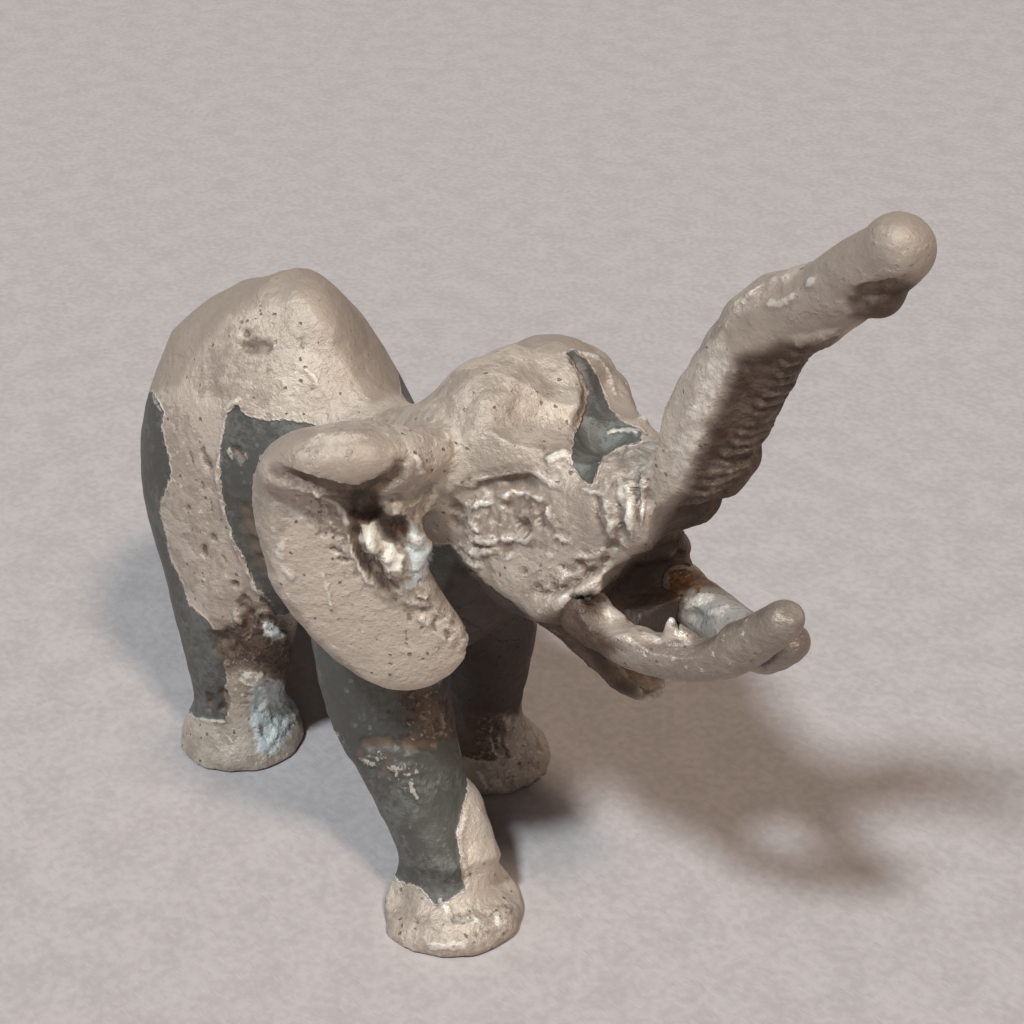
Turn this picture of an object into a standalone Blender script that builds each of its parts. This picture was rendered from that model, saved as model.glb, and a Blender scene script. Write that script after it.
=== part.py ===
"""Small cast metal elephant with a raised trunk, as separate castings that seat in each other.

Frame: +X towards the head, +Y to the elephant's left, +Z up, in metres. While the figure is built, x is
zero at the rear right foot, y is zero on the midplane and z is zero at the soles. At the end the whole
figure moves so that the origin is at the bottom centre of its box.
"""
import math

import bmesh
import bpy
import numpy as np
from mathutils import Matrix, Vector

MM = 0.001

# Fits and mesh fineness
CLEARANCE = 0.3 * MM          # gap between castings that seat in each other
VOXEL = 1.55 * MM             # cell of the remesh that blends the body, head and leg forms
SMOOTH_PASSES = 3
BLOCK_SIZE = 200 * MM         # cutting blocks, larger than the figure
SIDES = 16                    # points round a form's section
BODY_RINGS = 24               # sections along the torso and along each leg
SMALL_RINGS = 13              # sections along a tusk, the jaw, the tail or an ear's fold

# Body
BACK_HEIGHT = 37 * MM         # top of the rump above the soles
TORSO_LENGTH = 33 * MM
TORSO_WIDTH = 16.5 * MM
REAR_OVERHANG = 10.5 * MM     # rump behind the rear right foot's centre

# middle of a hind quarter behind the hip, beside the midplane and above the soles, and its radii
HAUNCH_SHARES = (0.04, 0.35, 0.54, 0.20, 0.24, 0.30)

# Legs
LEG_DIAMETER = 8 * MM
FOOT_SPREAD = 12.4 * MM       # between the centres of a left and a right foot
HIP_SPREAD = 10 * MM
FRONT_RIGHT_STRIDE = 10.4 * MM     # from the shoulder or the hip forwards to the foot's centre
FRONT_LEFT_STRIDE = -0.6 * MM
REAR_RIGHT_STRIDE = 1.5 * MM
REAR_LEFT_STRIDE = 1.7 * MM
LEG_PEG_DIAMETER = 3 * MM
LEG_PEG_LENGTH = 3 * MM
# along the body: the hip, the split between rear and front legs, and the shoulder
HIP_SHARE, LEG_SPLIT_SHARE, SHOULDER_SHARE = 0.273, 0.56, 0.773
# of the back's height: the leg castings' seam under the belly, and the tops of the legs inside the body
LEG_SEAM_SHARE, HIP_HEIGHT_SHARE = 0.365, 0.65
# heights on a leg, as shares of its whole height, where it is thinned or swelled
ANKLE_HEIGHT_SHARE, THIGH_HEIGHT_SHARE = 0.17, 0.5
# sizes of the thighs and ankles as shares of a plain leg
REAR_THIGH_SHARE, REAR_ANKLE_SHARE = 1.4, 0.96
FRONT_RIGHT_THIGH_SHARE, FRONT_RIGHT_ANKLE_SHARE = 1.0, 0.9
FRONT_LEFT_THIGH_SHARE, FRONT_LEFT_ANKLE_SHARE = 0.9, 0.7

# Head and neck
HEAD_LENGTH = 24 * MM         # nape to the front of the muzzle
HEAD_WIDTH = 15.5 * MM
HEAD_DEPTH = 14 * MM          # crown to cheek, square to the head's axis
NECK_SEAM_PITCH = math.radians(45)    # the neck seam's face looks up and forwards
NECK_PEG_DIAMETER = 6 * MM
NECK_PEG_LENGTH = 4 * MM
NAPE_SHARES = (0.742, 0.703)          # along the body and up its back
NECK_SEAM_SHARES = (0.19, 0, 0.11)    # along, beside and above the head's axis from the nape, as below

# the open mouth: middle along and up from the nape, and radii along, across and up, as shares of the head
MOUTH_SHARES = (1.00, 0.33, 0.20, 0.34, 0.15)
MOUTH_PITCH = math.radians(-40)

# Trunk
TRUNK_REACH = 15.5 * MM       # root to tip, forwards
TRUNK_RISE = 19 * MM          # root to tip, upwards
TRUNK_WIDTH = 6 * MM
TRUNK_RIBS = 18               # rib spacings from end to end
STEPS_PER_RIB = 3
RIB_DEPTH = 0.2 * MM
RIB_END_SHARE = 0.72          # of the trunk, past which it is smooth
TRUNK_ROOT_SHARES = (0.958, 0, 0.68)
# the two lips of the tip: forwards and upwards from the root, and the size of each, as shares
TRUNK_LOBE_SHARES = (
    ("upper_lip", (0.92, 1.01), 0.60),
    ("lower_lip", (0.86, 0.89), 0.48),
)

# Ears
EAR_WIDTH = 12 * MM
EAR_HEIGHT = 19 * MM
EAR_THICKNESS = 2.6 * MM
EAR_FOLD_DIAMETER = 3.8 * MM
EAR_SIDES = 30                # points round an ear's outline
RIGHT_EAR_SHARES = (0.50, -0.516, 0.886)     # the top inner corner of its plate, on the head
LEFT_EAR_SHARES = (0.396, 0.387, 0.614)
RIGHT_EAR_SWEEP = math.radians(50)    # of the ear's plane from the body's long axis
LEFT_EAR_SWEEP = math.radians(35)

# Tusks
TUSK_DIAMETER = 3.2 * MM
TUSK_TIP_OFFSET = 0.85 * MM   # from the midplane to a tip's centre, as they turn in
TUSK_SOCKET_DIAMETER = 5 * MM
TUSK_SOCKET_INSET = 1.6 * MM  # from the middle of a socket's boss to the tusk's root
RIGHT_TUSK_REACH, RIGHT_TUSK_RISE = 10.3 * MM, 5 * MM
LEFT_TUSK_REACH, LEFT_TUSK_RISE = 9.7 * MM, 3.7 * MM
RIGHT_TUSK_SHARES = (0.975, -0.258, 0.15)    # the root, on the head
LEFT_TUSK_SHARES = (0.965, 0.226, 0.045)

# Lower jaw
JAW_LENGTH = 9 * MM
JAW_WIDTH = 6.6 * MM
JAW_THICKNESS = 4.2 * MM
JAW_DROP = 4.2 * MM
JAW_ROOT_SHARES = (0.604, 0, 0)

# Tail
TAIL_LENGTH = 13 * MM
TAIL_DIAMETER = 2.2 * MM
TAIL_ROOT_SHARES = (0.058, 0.811)     # along the body and up its back

# Finishes: colour, metallic and roughness
BARE_METAL = ((0.36, 0.31, 0.26), 0.7, 0.45)
DARK_METAL = ((0.07, 0.06, 0.05), 0.5, 0.5)
TUSK_METAL = ((0.42, 0.40, 0.35), 0.7, 0.4)
FINISHES = {
    "body": BARE_METAL, "head": BARE_METAL, "trunk": BARE_METAL, "lower_jaw": BARE_METAL,
    "right_ear": BARE_METAL, "left_ear": BARE_METAL, "right_tusk": TUSK_METAL, "left_tusk": TUSK_METAL,
    "front_right_leg": BARE_METAL, "front_left_leg": DARK_METAL, "rear_right_leg": BARE_METAL,
    "rear_left_leg": DARK_METAL, "tail": BARE_METAL,
}

ACROSS = Vector((0, 1, 0))
FORWARD = Vector((1, 0, 0))
UP = Vector((0, 0, 1))


def on_body(along, rise, across=0):
    """A place by shares of the body's length and the back's height, and a length across."""
    return Vector((along * TORSO_LENGTH - REAR_OVERHANG, across, rise * BACK_HEIGHT))


def on_head(along, sideways, rise):
    """A place by shares of the head's sizes from the nape."""
    return on_body(*NAPE_SHARES) + Vector((along * HEAD_LENGTH, sideways * HEAD_WIDTH, rise * HEAD_DEPTH))


def material(name, colour, metallic, roughness):
    made = bpy.data.materials.new(name)
    made.use_nodes = True
    shader = made.node_tree.nodes["Principled BSDF"]
    shader.inputs["Base Color"].default_value = (*colour, 1)
    shader.inputs["Metallic"].default_value = metallic
    shader.inputs["Roughness"].default_value = roughness
    return made


def add_object(name, mesh, collection):
    made = bpy.data.objects.new(name, mesh)
    collection.objects.link(made)
    return made


def from_bmesh(shell, name):
    mesh = bpy.data.meshes.new(name)
    shell.to_mesh(mesh)
    shell.free()
    return mesh


def ring(centre, across, up, half_width, half_depth, narrowing_share=0):
    """Points of an ellipse, narrowed towards its top by a share of its width."""
    points = []
    for step in range(SIDES):
        turn = math.tau * step / SIDES
        width = half_width * (1 - narrowing_share * math.sin(turn))
        points.append(centre + across * (width * math.cos(turn)) + up * (half_depth * math.sin(turn)))
    return points


def skin(rings):
    """One closed mesh through a row of rings that have the same number of points."""
    shell = bmesh.new()
    rows = [[shell.verts.new(point) for point in points] for points in rings]
    for lower, upper in zip(rows, rows[1:]):
        for i in range(len(lower)):
            j = (i + 1) % len(lower)
            shell.faces.new((lower[i], lower[j], upper[j], upper[i]))
    shell.faces.new(list(reversed(rows[0])))
    shell.faces.new(rows[-1])
    bmesh.ops.recalc_face_normals(shell, faces=shell.faces)
    return from_bmesh(shell, "skin")


def smooth_path(points, count, closed=False):
    """A Catmull-Rom curve through the points, read at evenly spaced parameters."""
    points = [np.array(point, float) for point in points]
    if closed:
        points = [points[-1], *points, points[0], points[1]]
    else:
        points = [2 * points[0] - points[1], *points, 2 * points[-1] - points[-2]]
    spans = len(points) - 3
    read = []
    for step in range(count):
        place = spans * step / (count if closed else count - 1)
        span = min(int(place), spans - 1)
        t = place - span
        a, b, c, d = points[span:span + 4]
        read.append((2 * b + (c - a) * t + (2 * a - 5 * b + 4 * c - d) * t ** 2
                     + (3 * b - a - 3 * c + d) * t ** 3) / 2)
    return read


def directions(centres):
    """The direction of a path at each of its points."""
    last = len(centres) - 1
    return [(centres[min(i + 1, last)] - centres[max(i - 1, 0)]).normalized() for i in range(last + 1)]


def egg(centre, radii, pitch=0):
    """An ellipsoid, pitched about the across axis."""
    shell = bmesh.new()
    bmesh.ops.create_uvsphere(shell, u_segments=SIDES, v_segments=SIDES // 2, radius=1)
    bmesh.ops.scale(shell, vec=Vector(radii), verts=shell.verts)
    bmesh.ops.rotate(shell, matrix=Matrix.Rotation(pitch, 3, "Y"), verts=shell.verts)
    bmesh.ops.translate(shell, vec=Vector(centre), verts=shell.verts)
    return from_bmesh(shell, "egg")


def evaluated_mesh(thing):
    graph = bpy.context.evaluated_depsgraph_get()
    return bpy.data.meshes.new_from_object(thing.evaluated_get(graph))


def blended(forms, voxel, passes):
    """One closed skin round overlapping forms, with their meeting lines smoothed."""
    joined = bmesh.new()
    for form in forms:
        joined.from_mesh(form)
    thing = add_object("forms", from_bmesh(joined, "forms"), bpy.context.scene.collection)
    remesh = thing.modifiers.new("blend", "REMESH")
    remesh.mode = "VOXEL"
    remesh.voxel_size = voxel
    smooth = thing.modifiers.new("smooth", "SMOOTH")
    smooth.factor = 0.5
    smooth.iterations = passes
    bpy.context.view_layer.update()
    mesh = evaluated_mesh(thing)
    bpy.data.objects.remove(thing)
    return mesh


def torso_form():
    # along the body, top line, belly line, width, narrowing towards the spine
    station_shares = (
        (0.00, 0.74, 0.50, 0.36, 0.10),
        (0.04, 0.85, 0.44, 0.68, 0.12),
        (0.12, 0.94, 0.40, 0.92, 0.14),
        (0.25, 0.99, 0.385, 1.00, 0.20),
        (0.38, 1.00, 0.38, 0.98, 0.26),
        (0.50, 0.93, 0.38, 0.90, 0.32),
        (0.62, 0.82, 0.385, 0.80, 0.32),
        (0.74, 0.75, 0.39, 0.80, 0.30),
        (0.86, 0.75, 0.40, 0.80, 0.26),
        (0.95, 0.72, 0.46, 0.62, 0.20),
        (1.00, 0.70, 0.54, 0.32, 0.10),
    )
    rings = []
    for along, top, belly, width, narrowing in smooth_path(station_shares, BODY_RINGS):
        centre = on_body(along, (top + belly) / 2)
        rings.append(ring(centre, ACROSS, UP, width * TORSO_WIDTH / 2, (top - belly) / 2 * BACK_HEIGHT,
                          narrowing))
    return skin(rings)


# a leg: height, lean from foot to hip, fore-and-aft and across diameters
LEG_SHARES = (
    (-0.10, 0.00, 1.28, 1.28),
    (0.03, 0.00, 1.28, 1.28),
    (0.055, 0.00, 1.16, 1.16),
    (0.10, 0.03, 0.94, 0.92),
    (0.17, 0.12, 0.92, 0.90),
    (0.25, 0.28, 0.98, 0.94),
    (0.38, 0.56, 1.10, 1.00),
    (0.54, 0.78, 1.24, 1.08),
    (0.75, 0.92, 1.24, 1.04),
    (1.00, 1.00, 0.90, 0.70),
)


def leg_centre(side, hip_share, stride, height_share):
    """The middle of a leg at a share of its height."""
    lean = float(np.interp(height_share, [row[0] for row in LEG_SHARES], [row[1] for row in LEG_SHARES]))
    across = side * (FOOT_SPREAD + (HIP_SPREAD - FOOT_SPREAD) * lean) / 2
    return on_body(hip_share, height_share * HIP_HEIGHT_SHARE, across) + FORWARD * stride * (1 - lean)


def leg_form(side, hip_share, stride, thigh_share, ankle_share):
    """A leg from below the sole, so that the later cut leaves a flat one, up into the body."""
    rings = []
    for height, lean, fore_aft, across in smooth_path(LEG_SHARES, BODY_RINGS):
        swell = float(np.interp(height, (ANKLE_HEIGHT_SHARE / 2, ANKLE_HEIGHT_SHARE, THIGH_HEIGHT_SHARE),
                                (1, ankle_share, thigh_share)))
        rings.append(ring(leg_centre(side, hip_share, stride, height), ACROSS, FORWARD,
                          across * min(swell, 1) * LEG_DIAMETER / 2, fore_aft * swell * LEG_DIAMETER / 2))
    return skin(rings)


def haunch_forms():
    """The bulge of each hind quarter, from the rump down to the thigh."""
    # backwards from the hip, sideways and height of the middle; radii along, across and up
    back, sideways, height, long, wide, high = HAUNCH_SHARES
    return [egg(on_body(HIP_SHARE - back, height, side * sideways * TORSO_WIDTH),
                (long * TORSO_LENGTH, wide * TORSO_WIDTH, high * BACK_HEIGHT)) for side in (-1, 1)]


def head_forms():
    # along from the nape, rise, width, depth
    station_shares = (
        (-0.12, 0.00, 0.66, 0.60),
        (0.10, 0.12, 0.74, 0.68),
        (0.30, 0.30, 0.86, 0.85),
        (0.50, 0.46, 0.94, 0.98),
        (0.68, 0.46, 0.82, 0.82),
        (0.84, 0.59, 0.62, 0.52),
        (1.05, 0.72, 0.45, 0.46),
    )
    narrowing_share = 0.12
    centres = [on_head(along, 0, rise) for along, rise, width, depth in station_shares]
    rings = []
    for centre, ahead, (along, rise, width, depth) in zip(centres, directions(centres), station_shares):
        rings.append(ring(centre, ACROSS, ahead.cross(ACROSS), width * HEAD_WIDTH / 2,
                          depth * HEAD_DEPTH / 2, narrowing_share))
    forms = [skin(rings)]
    # along, sideways, rise; radii along, across, up: crown lobes, cheeks and ear bases
    lobe_shares = (
        (0.48, 0.17, 0.70, 0.21, 0.26, 0.26),
        (0.66, 0.25, 0.20, 0.20, 0.19, 0.26),
        (0.44, 0.35, 0.57, 0.17, 0.22, 0.26),
    )
    for along, sideways, rise, long, wide, high in lobe_shares:
        for side in (-1, 1):
            forms.append(egg(on_head(along, side * sideways, rise),
                             (long * HEAD_LENGTH, wide * HEAD_WIDTH, high * HEAD_DEPTH)))
    for side, root_shares in ((-1, RIGHT_TUSK_SHARES), (1, LEFT_TUSK_SHARES)):
        inwards = -side * ACROSS / 2
        forms.append(egg(on_head(*root_shares) + (inwards - FORWARD) * TUSK_SOCKET_INSET,
                         (TUSK_SOCKET_DIAMETER / 2,) * 3))
    return forms


def trunk_form():
    # forwards, upwards, across and fore-and-aft sizes along the trunk
    station_shares = (
        (-0.13, -0.05, 0.74, 0.70),
        (-0.06, -0.02, 0.82, 0.80),
        (0.04, 0.06, 0.92, 0.90),
        (0.17, 0.22, 0.96, 0.94),
        (0.28, 0.38, 0.94, 0.92),
        (0.37, 0.54, 0.86, 0.86),
        (0.48, 0.69, 0.78, 0.80),
        (0.66, 0.80, 0.66, 0.68),
        (0.82, 0.93, 0.60, 0.62),
        (0.92, 1.00, 0.54, 0.56),
        (0.94, 1.02, 0.30, 0.32),
    )
    count = TRUNK_RIBS * STEPS_PER_RIB
    stations = smooth_path(station_shares, count)
    centres = [on_head(*TRUNK_ROOT_SHARES) + FORWARD * forward * TRUNK_REACH + UP * rise * TRUNK_RISE
               for forward, rise, width, depth in stations]
    rings = []
    for step, (centre, ahead) in enumerate(zip(centres, directions(centres))):
        width, depth = stations[step][2:]
        ribbed = RIB_END_SHARE > step / count
        rib = RIB_DEPTH * math.cos(math.tau * step / STEPS_PER_RIB) / 2 if ribbed else 0
        rings.append(ring(centre, ACROSS, ahead.cross(ACROSS), width * TRUNK_WIDTH / 2,
                          depth * TRUNK_WIDTH / 2 + rib))
    return skin(rings)


def ear_forms(side, root, sweep):
    """A pillow-shaped plate with a fat rolled fold along its top edge."""
    # outwards from the root and down from the top
    outline_shares = (
        (0.00, 0.05), (0.22, 0.00), (0.50, 0.01), (0.76, 0.07), (0.86, 0.20), (0.86, 0.38),
        (0.80, 0.56), (0.66, 0.73), (0.48, 0.88), (0.26, 0.98), (0.04, 0.99), (-0.14, 0.90),
        (-0.19, 0.78), (-0.08, 0.64), (0.02, 0.50), (0.04, 0.34), (0.00, 0.20),
    )
    middle_shares = (0.38, 0.48)
    outward = Vector((-math.cos(sweep), side * math.sin(sweep), 0))
    facing = Vector((math.sin(sweep), side * math.cos(sweep), 0))
    outline = smooth_path(outline_shares, EAR_SIDES, closed=True)
    rings = []
    size_shares = (0.1, 0.4, 0.7, 0.88, 0.97, 1.0, 0.97, 0.88, 0.7, 0.4, 0.1)
    for i, size in enumerate(size_shares):
        face = 1 if i < len(size_shares) // 2 else -1
        depth = 0 if size == 1 else face * math.sqrt(1 - size ** 4) * EAR_THICKNESS / 2
        points = []
        for out, down in outline:
            out = middle_shares[0] + (out - middle_shares[0]) * size
            down = middle_shares[1] + (down - middle_shares[1]) * size
            points.append(root + outward * (out * EAR_WIDTH) - UP * (down * EAR_HEIGHT) + facing * depth)
        rings.append(points)
    plate = skin(rings)
    # outwards, down, towards the front, size: the rolled fold from the outer corner into the head
    fold_shares = (
        (0.82, 0.15, 0.10, 0.40),
        (0.78, 0.14, 0.14, 0.70),
        (0.66, 0.12, 0.24, 0.92),
        (0.46, 0.10, 0.36, 1.04),
        (0.26, 0.10, 0.34, 1.06),
        (0.10, 0.12, 0.10, 1.00),
        (-0.04, 0.14, -0.30, 0.90),
    )
    stations = smooth_path(fold_shares, SMALL_RINGS)
    centres = [root + outward * (out * EAR_WIDTH) - UP * (down * EAR_HEIGHT)
               + facing * (ahead * EAR_FOLD_DIAMETER) for out, down, ahead, size in stations]
    rings = [ring(centre, UP, way.cross(UP).normalized(), size * EAR_FOLD_DIAMETER / 2,
                  size * EAR_FOLD_DIAMETER / 2)
             for centre, way, (out, down, ahead, size) in zip(centres, directions(centres), stations)]
    return plate, skin(rings)


def tusk_form(side, root, reach, rise):
    # forwards, inwards, upwards, thickness
    station_shares = (
        (-0.24, -0.06, 0.04, 0.80),
        (0.00, 0.00, 0.00, 0.92),
        (0.20, 0.14, -0.02, 1.00),
        (0.44, 0.38, 0.06, 1.02),
        (0.68, 0.66, 0.26, 0.94),
        (0.88, 0.88, 0.68, 0.78),
        (0.98, 0.98, 0.96, 0.66),
        (1.00, 1.00, 1.04, 0.40),
    )
    stations = smooth_path(station_shares, SMALL_RINGS)
    inwards = ACROSS * (side * TUSK_TIP_OFFSET - root.y)
    centres = [root + FORWARD * forward * reach + inwards * inward + UP * up * rise
               for forward, inward, up, size in stations]
    rings = [ring(centre, ACROSS, way.cross(ACROSS).normalized(), size * TUSK_DIAMETER / 2,
                  size * TUSK_DIAMETER / 2)
             for centre, way, (forward, inward, up, size) in zip(centres, directions(centres), stations)]
    return skin(rings)


def jaw_form():
    # forwards, downwards, width, thickness
    station_shares = (
        (-0.25, -0.10, 0.90, 1.00),
        (0.10, 0.10, 1.00, 1.05),
        (0.40, 0.45, 0.95, 0.85),
        (0.70, 0.85, 0.66, 0.50),
        (0.92, 1.00, 0.42, 0.32),
        (1.00, 0.98, 0.20, 0.16),
    )
    stations = smooth_path(station_shares, SMALL_RINGS)
    centres = [on_head(*JAW_ROOT_SHARES) + FORWARD * forward * JAW_LENGTH - UP * down * JAW_DROP
               for forward, down, width, thickness in stations]
    rings = [ring(centre, ACROSS, way.cross(ACROSS).normalized(), width * JAW_WIDTH / 2,
                  thickness * JAW_THICKNESS / 2)
             for centre, way, (forward, down, width, thickness)
             in zip(centres, directions(centres), stations)]
    return skin(rings)


def tail_form():
    # backwards from the rump, downwards, thickness
    station_shares = (
        (-0.16, 0.00, 1.30),
        (0.00, 0.02, 1.20),
        (0.09, 0.12, 1.05),
        (0.13, 0.34, 0.90),
        (0.13, 0.62, 0.80),
        (0.10, 0.86, 0.95),
        (0.07, 0.97, 0.90),
        (0.05, 1.00, 0.40),
    )
    stations = smooth_path(station_shares, SMALL_RINGS)
    centres = [on_body(*TAIL_ROOT_SHARES) - (FORWARD * back + UP * down) * TAIL_LENGTH
               for back, down, size in stations]
    rings = [ring(centre, ACROSS, way.cross(ACROSS).normalized(), size * TAIL_DIAMETER / 2,
                  size * TAIL_DIAMETER / 2)
             for centre, way, (back, down, size) in zip(centres, directions(centres), stations)]
    return skin(rings)


def pin(foot, way, diameter, length):
    """A plain round pin that starts at its foot and runs the given way."""
    shell = bmesh.new()
    bmesh.ops.create_cone(shell, cap_ends=True, segments=SIDES, radius1=diameter / 2, radius2=diameter / 2,
                          depth=length)
    turn = UP.rotation_difference(way).to_matrix()
    bmesh.ops.rotate(shell, matrix=turn, verts=shell.verts)
    bmesh.ops.translate(shell, vec=foot + way * length / 2, verts=shell.verts)
    return from_bmesh(shell, "pin")


def box(low, high):
    """A block between two corners."""
    shell = bmesh.new()
    bmesh.ops.create_cube(shell, size=1)
    bmesh.ops.scale(shell, vec=Vector(high) - Vector(low), verts=shell.verts)
    bmesh.ops.translate(shell, vec=(Vector(high) + Vector(low)) / 2, verts=shell.verts)
    return from_bmesh(shell, "box")


def add_cutter(name, mesh, cutters):
    cutter = add_object(name, mesh, cutters)
    cutter.hide_render = True
    cutter.display_type = "WIRE"
    return cutter


def combine(thing, operation, other):
    boolean = thing.modifiers.new(other.name, "BOOLEAN")
    boolean.operation = operation
    boolean.solver = "EXACT"
    boolean.object = other


def seat(child, carriers, cutters):
    """Cut a seat for a child into the castings that it enters or lies against."""
    bpy.context.view_layer.update()
    grown = add_cutter(child.name + "_seat", evaluated_mesh(child), cutters)
    swell = grown.modifiers.new("clearance", "DISPLACE")
    swell.strength = CLEARANCE
    swell.mid_level = 0
    for carrier in carriers:
        combine(carrier, "DIFFERENCE", grown)


def add_leg(name, figure, side, hip_share, stride, parts, cutters):
    """A leg below its seam, with a peg on top that enters the body."""
    seam = on_body(0, LEG_SEAM_SHARE).z - CLEARANCE / 2
    split = on_body(LEG_SPLIT_SHARE, 0).x
    near, far = CLEARANCE / 2, BLOCK_SIZE
    fore = hip_share > LEG_SPLIT_SHARE
    low = (split + near if fore else -far, near if side > 0 else -far, 0)
    high = (far if fore else split - near, far if side > 0 else -near, seam)
    leg = add_object(name, figure.copy(), parts)
    combine(leg, "INTERSECT", add_cutter(name + "_region", box(low, high), cutters))
    top = leg_centre(side, hip_share, stride, LEG_SEAM_SHARE / HIP_HEIGHT_SHARE)
    below = UP * LEG_PEG_LENGTH
    peg = pin(top - below, UP, LEG_PEG_DIAMETER, LEG_PEG_LENGTH * 2)
    combine(leg, "UNION", add_cutter(name + "_peg", peg, cutters))
    socket = pin(top - below, UP, LEG_PEG_DIAMETER + CLEARANCE * 2, LEG_PEG_LENGTH * 2 + CLEARANCE)
    return leg, add_cutter(name + "_socket", socket, cutters)


def main():
    for left_over in list(bpy.data.objects):
        bpy.data.objects.remove(left_over, do_unlink=True)
    parts = bpy.data.collections.new("cast_elephant")
    cutters = bpy.data.collections.new("cutters")
    for collection in (parts, cutters):
        bpy.context.scene.collection.children.link(collection)

    # side, hip or shoulder along the body, stride, and the sizes of the thigh and the ankle
    legs = (
        ("rear_right_leg", -1, HIP_SHARE, REAR_RIGHT_STRIDE, REAR_THIGH_SHARE, REAR_ANKLE_SHARE),
        ("rear_left_leg", 1, HIP_SHARE, REAR_LEFT_STRIDE, REAR_THIGH_SHARE, REAR_ANKLE_SHARE),
        ("front_right_leg", -1, SHOULDER_SHARE, FRONT_RIGHT_STRIDE, FRONT_RIGHT_THIGH_SHARE,
         FRONT_RIGHT_ANKLE_SHARE),
        ("front_left_leg", 1, SHOULDER_SHARE, FRONT_LEFT_STRIDE, FRONT_LEFT_THIGH_SHARE,
         FRONT_LEFT_ANKLE_SHARE),
    )
    leg_forms = [leg_form(*measures) for name, *measures in legs]
    figure = blended([torso_form(), *haunch_forms(), *head_forms(), *leg_forms], VOXEL, SMOOTH_PASSES)

    body = add_object("body", figure.copy(), parts)
    head = add_object("head", figure.copy(), parts)
    seam = on_body(0, LEG_SEAM_SHARE).z + CLEARANCE / 2
    above = box((-BLOCK_SIZE, -BLOCK_SIZE, seam), (BLOCK_SIZE, BLOCK_SIZE, BLOCK_SIZE))
    combine(body, "INTERSECT", add_cutter("above_leg_seam", above, cutters))
    for name, side, hip_share, stride, *sizes in legs:
        leg, socket = add_leg(name, figure, side, hip_share, stride, parts, cutters)
        combine(body, "DIFFERENCE", socket)

    way = Vector((math.sin(NECK_SEAM_PITCH), 0, math.cos(NECK_SEAM_PITCH)))
    neck = on_head(*NECK_SEAM_SHARES)
    to_seam = Matrix.Translation(neck) @ UP.rotation_difference(way).to_matrix().to_4x4()
    for thing, operation, start in ((body, "DIFFERENCE", -CLEARANCE / 2), (head, "INTERSECT", CLEARANCE / 2)):
        ahead = box((-HEAD_DEPTH, -HEAD_WIDTH, start), (HEAD_DEPTH * 2, HEAD_WIDTH, BLOCK_SIZE))
        ahead.transform(to_seam)
        combine(thing, operation, add_cutter(thing.name + "_neck_seam", ahead, cutters))
    peg = pin(neck - way * NECK_PEG_LENGTH, way, NECK_PEG_DIAMETER, NECK_PEG_LENGTH * 2)
    combine(body, "UNION", add_cutter("neck_peg", peg, cutters))
    socket = pin(neck - way * NECK_PEG_LENGTH, way, NECK_PEG_DIAMETER + CLEARANCE * 2,
                 NECK_PEG_LENGTH * 2 + CLEARANCE)
    combine(head, "DIFFERENCE", add_cutter("neck_socket", socket, cutters))

    along, rise, long, wide, high = MOUTH_SHARES
    hollow = egg(on_head(along, 0, rise), (long * HEAD_LENGTH, wide * HEAD_WIDTH, high * HEAD_DEPTH),
                 MOUTH_PITCH)
    combine(head, "DIFFERENCE", add_cutter("mouth", hollow, cutters))

    trunk = add_object("trunk", trunk_form(), parts)
    for name, (forward, rise), size in TRUNK_LOBE_SHARES:
        middle = on_head(*TRUNK_ROOT_SHARES) + FORWARD * forward * TRUNK_REACH + UP * rise * TRUNK_RISE
        lobe = egg(middle, (size * TRUNK_WIDTH / 2,) * 3)
        combine(trunk, "UNION", add_cutter(name, lobe, cutters))
    jaw = add_object("lower_jaw", jaw_form(), parts)
    seat(jaw, [head], cutters)
    seat(trunk, [head], cutters)
    for name, side, root_shares, reach, rise in (
            ("right_tusk", -1, RIGHT_TUSK_SHARES, RIGHT_TUSK_REACH, RIGHT_TUSK_RISE),
            ("left_tusk", 1, LEFT_TUSK_SHARES, LEFT_TUSK_REACH, LEFT_TUSK_RISE)):
        tusk = add_object(name, tusk_form(side, on_head(*root_shares), reach, rise), parts)
        seat(tusk, [head, jaw], cutters)
    for name, side, root_shares, sweep in (("right_ear", -1, RIGHT_EAR_SHARES, RIGHT_EAR_SWEEP),
                                           ("left_ear", 1, LEFT_EAR_SHARES, LEFT_EAR_SWEEP)):
        plate, fold = ear_forms(side, on_head(*root_shares), sweep)
        ear = add_object(name, plate, parts)
        combine(ear, "UNION", add_cutter(name + "_fold", fold, cutters))
        seat(ear, [head, body], cutters)
    tail = add_object("tail", tail_form(), parts)
    seat(tail, [body], cutters)

    bpy.context.view_layer.update()
    corners = [piece.evaluated_get(bpy.context.evaluated_depsgraph_get()).bound_box for piece in parts.objects]
    low = Vector(map(min, zip(*(corner for box_corners in corners for corner in box_corners))))
    high = Vector(map(max, zip(*(corner for box_corners in corners for corner in box_corners))))
    centre = (low + high) / 2
    for thing in (*parts.objects, *cutters.objects):
        thing.location = (-centre.x, -centre.y, 0)

    for piece in parts.objects:
        piece.data.materials.clear()
        piece.data.materials.append(material(piece.name + "_metal", *FINISHES[piece.name]))
        piece.data.shade_smooth()


main()
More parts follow.
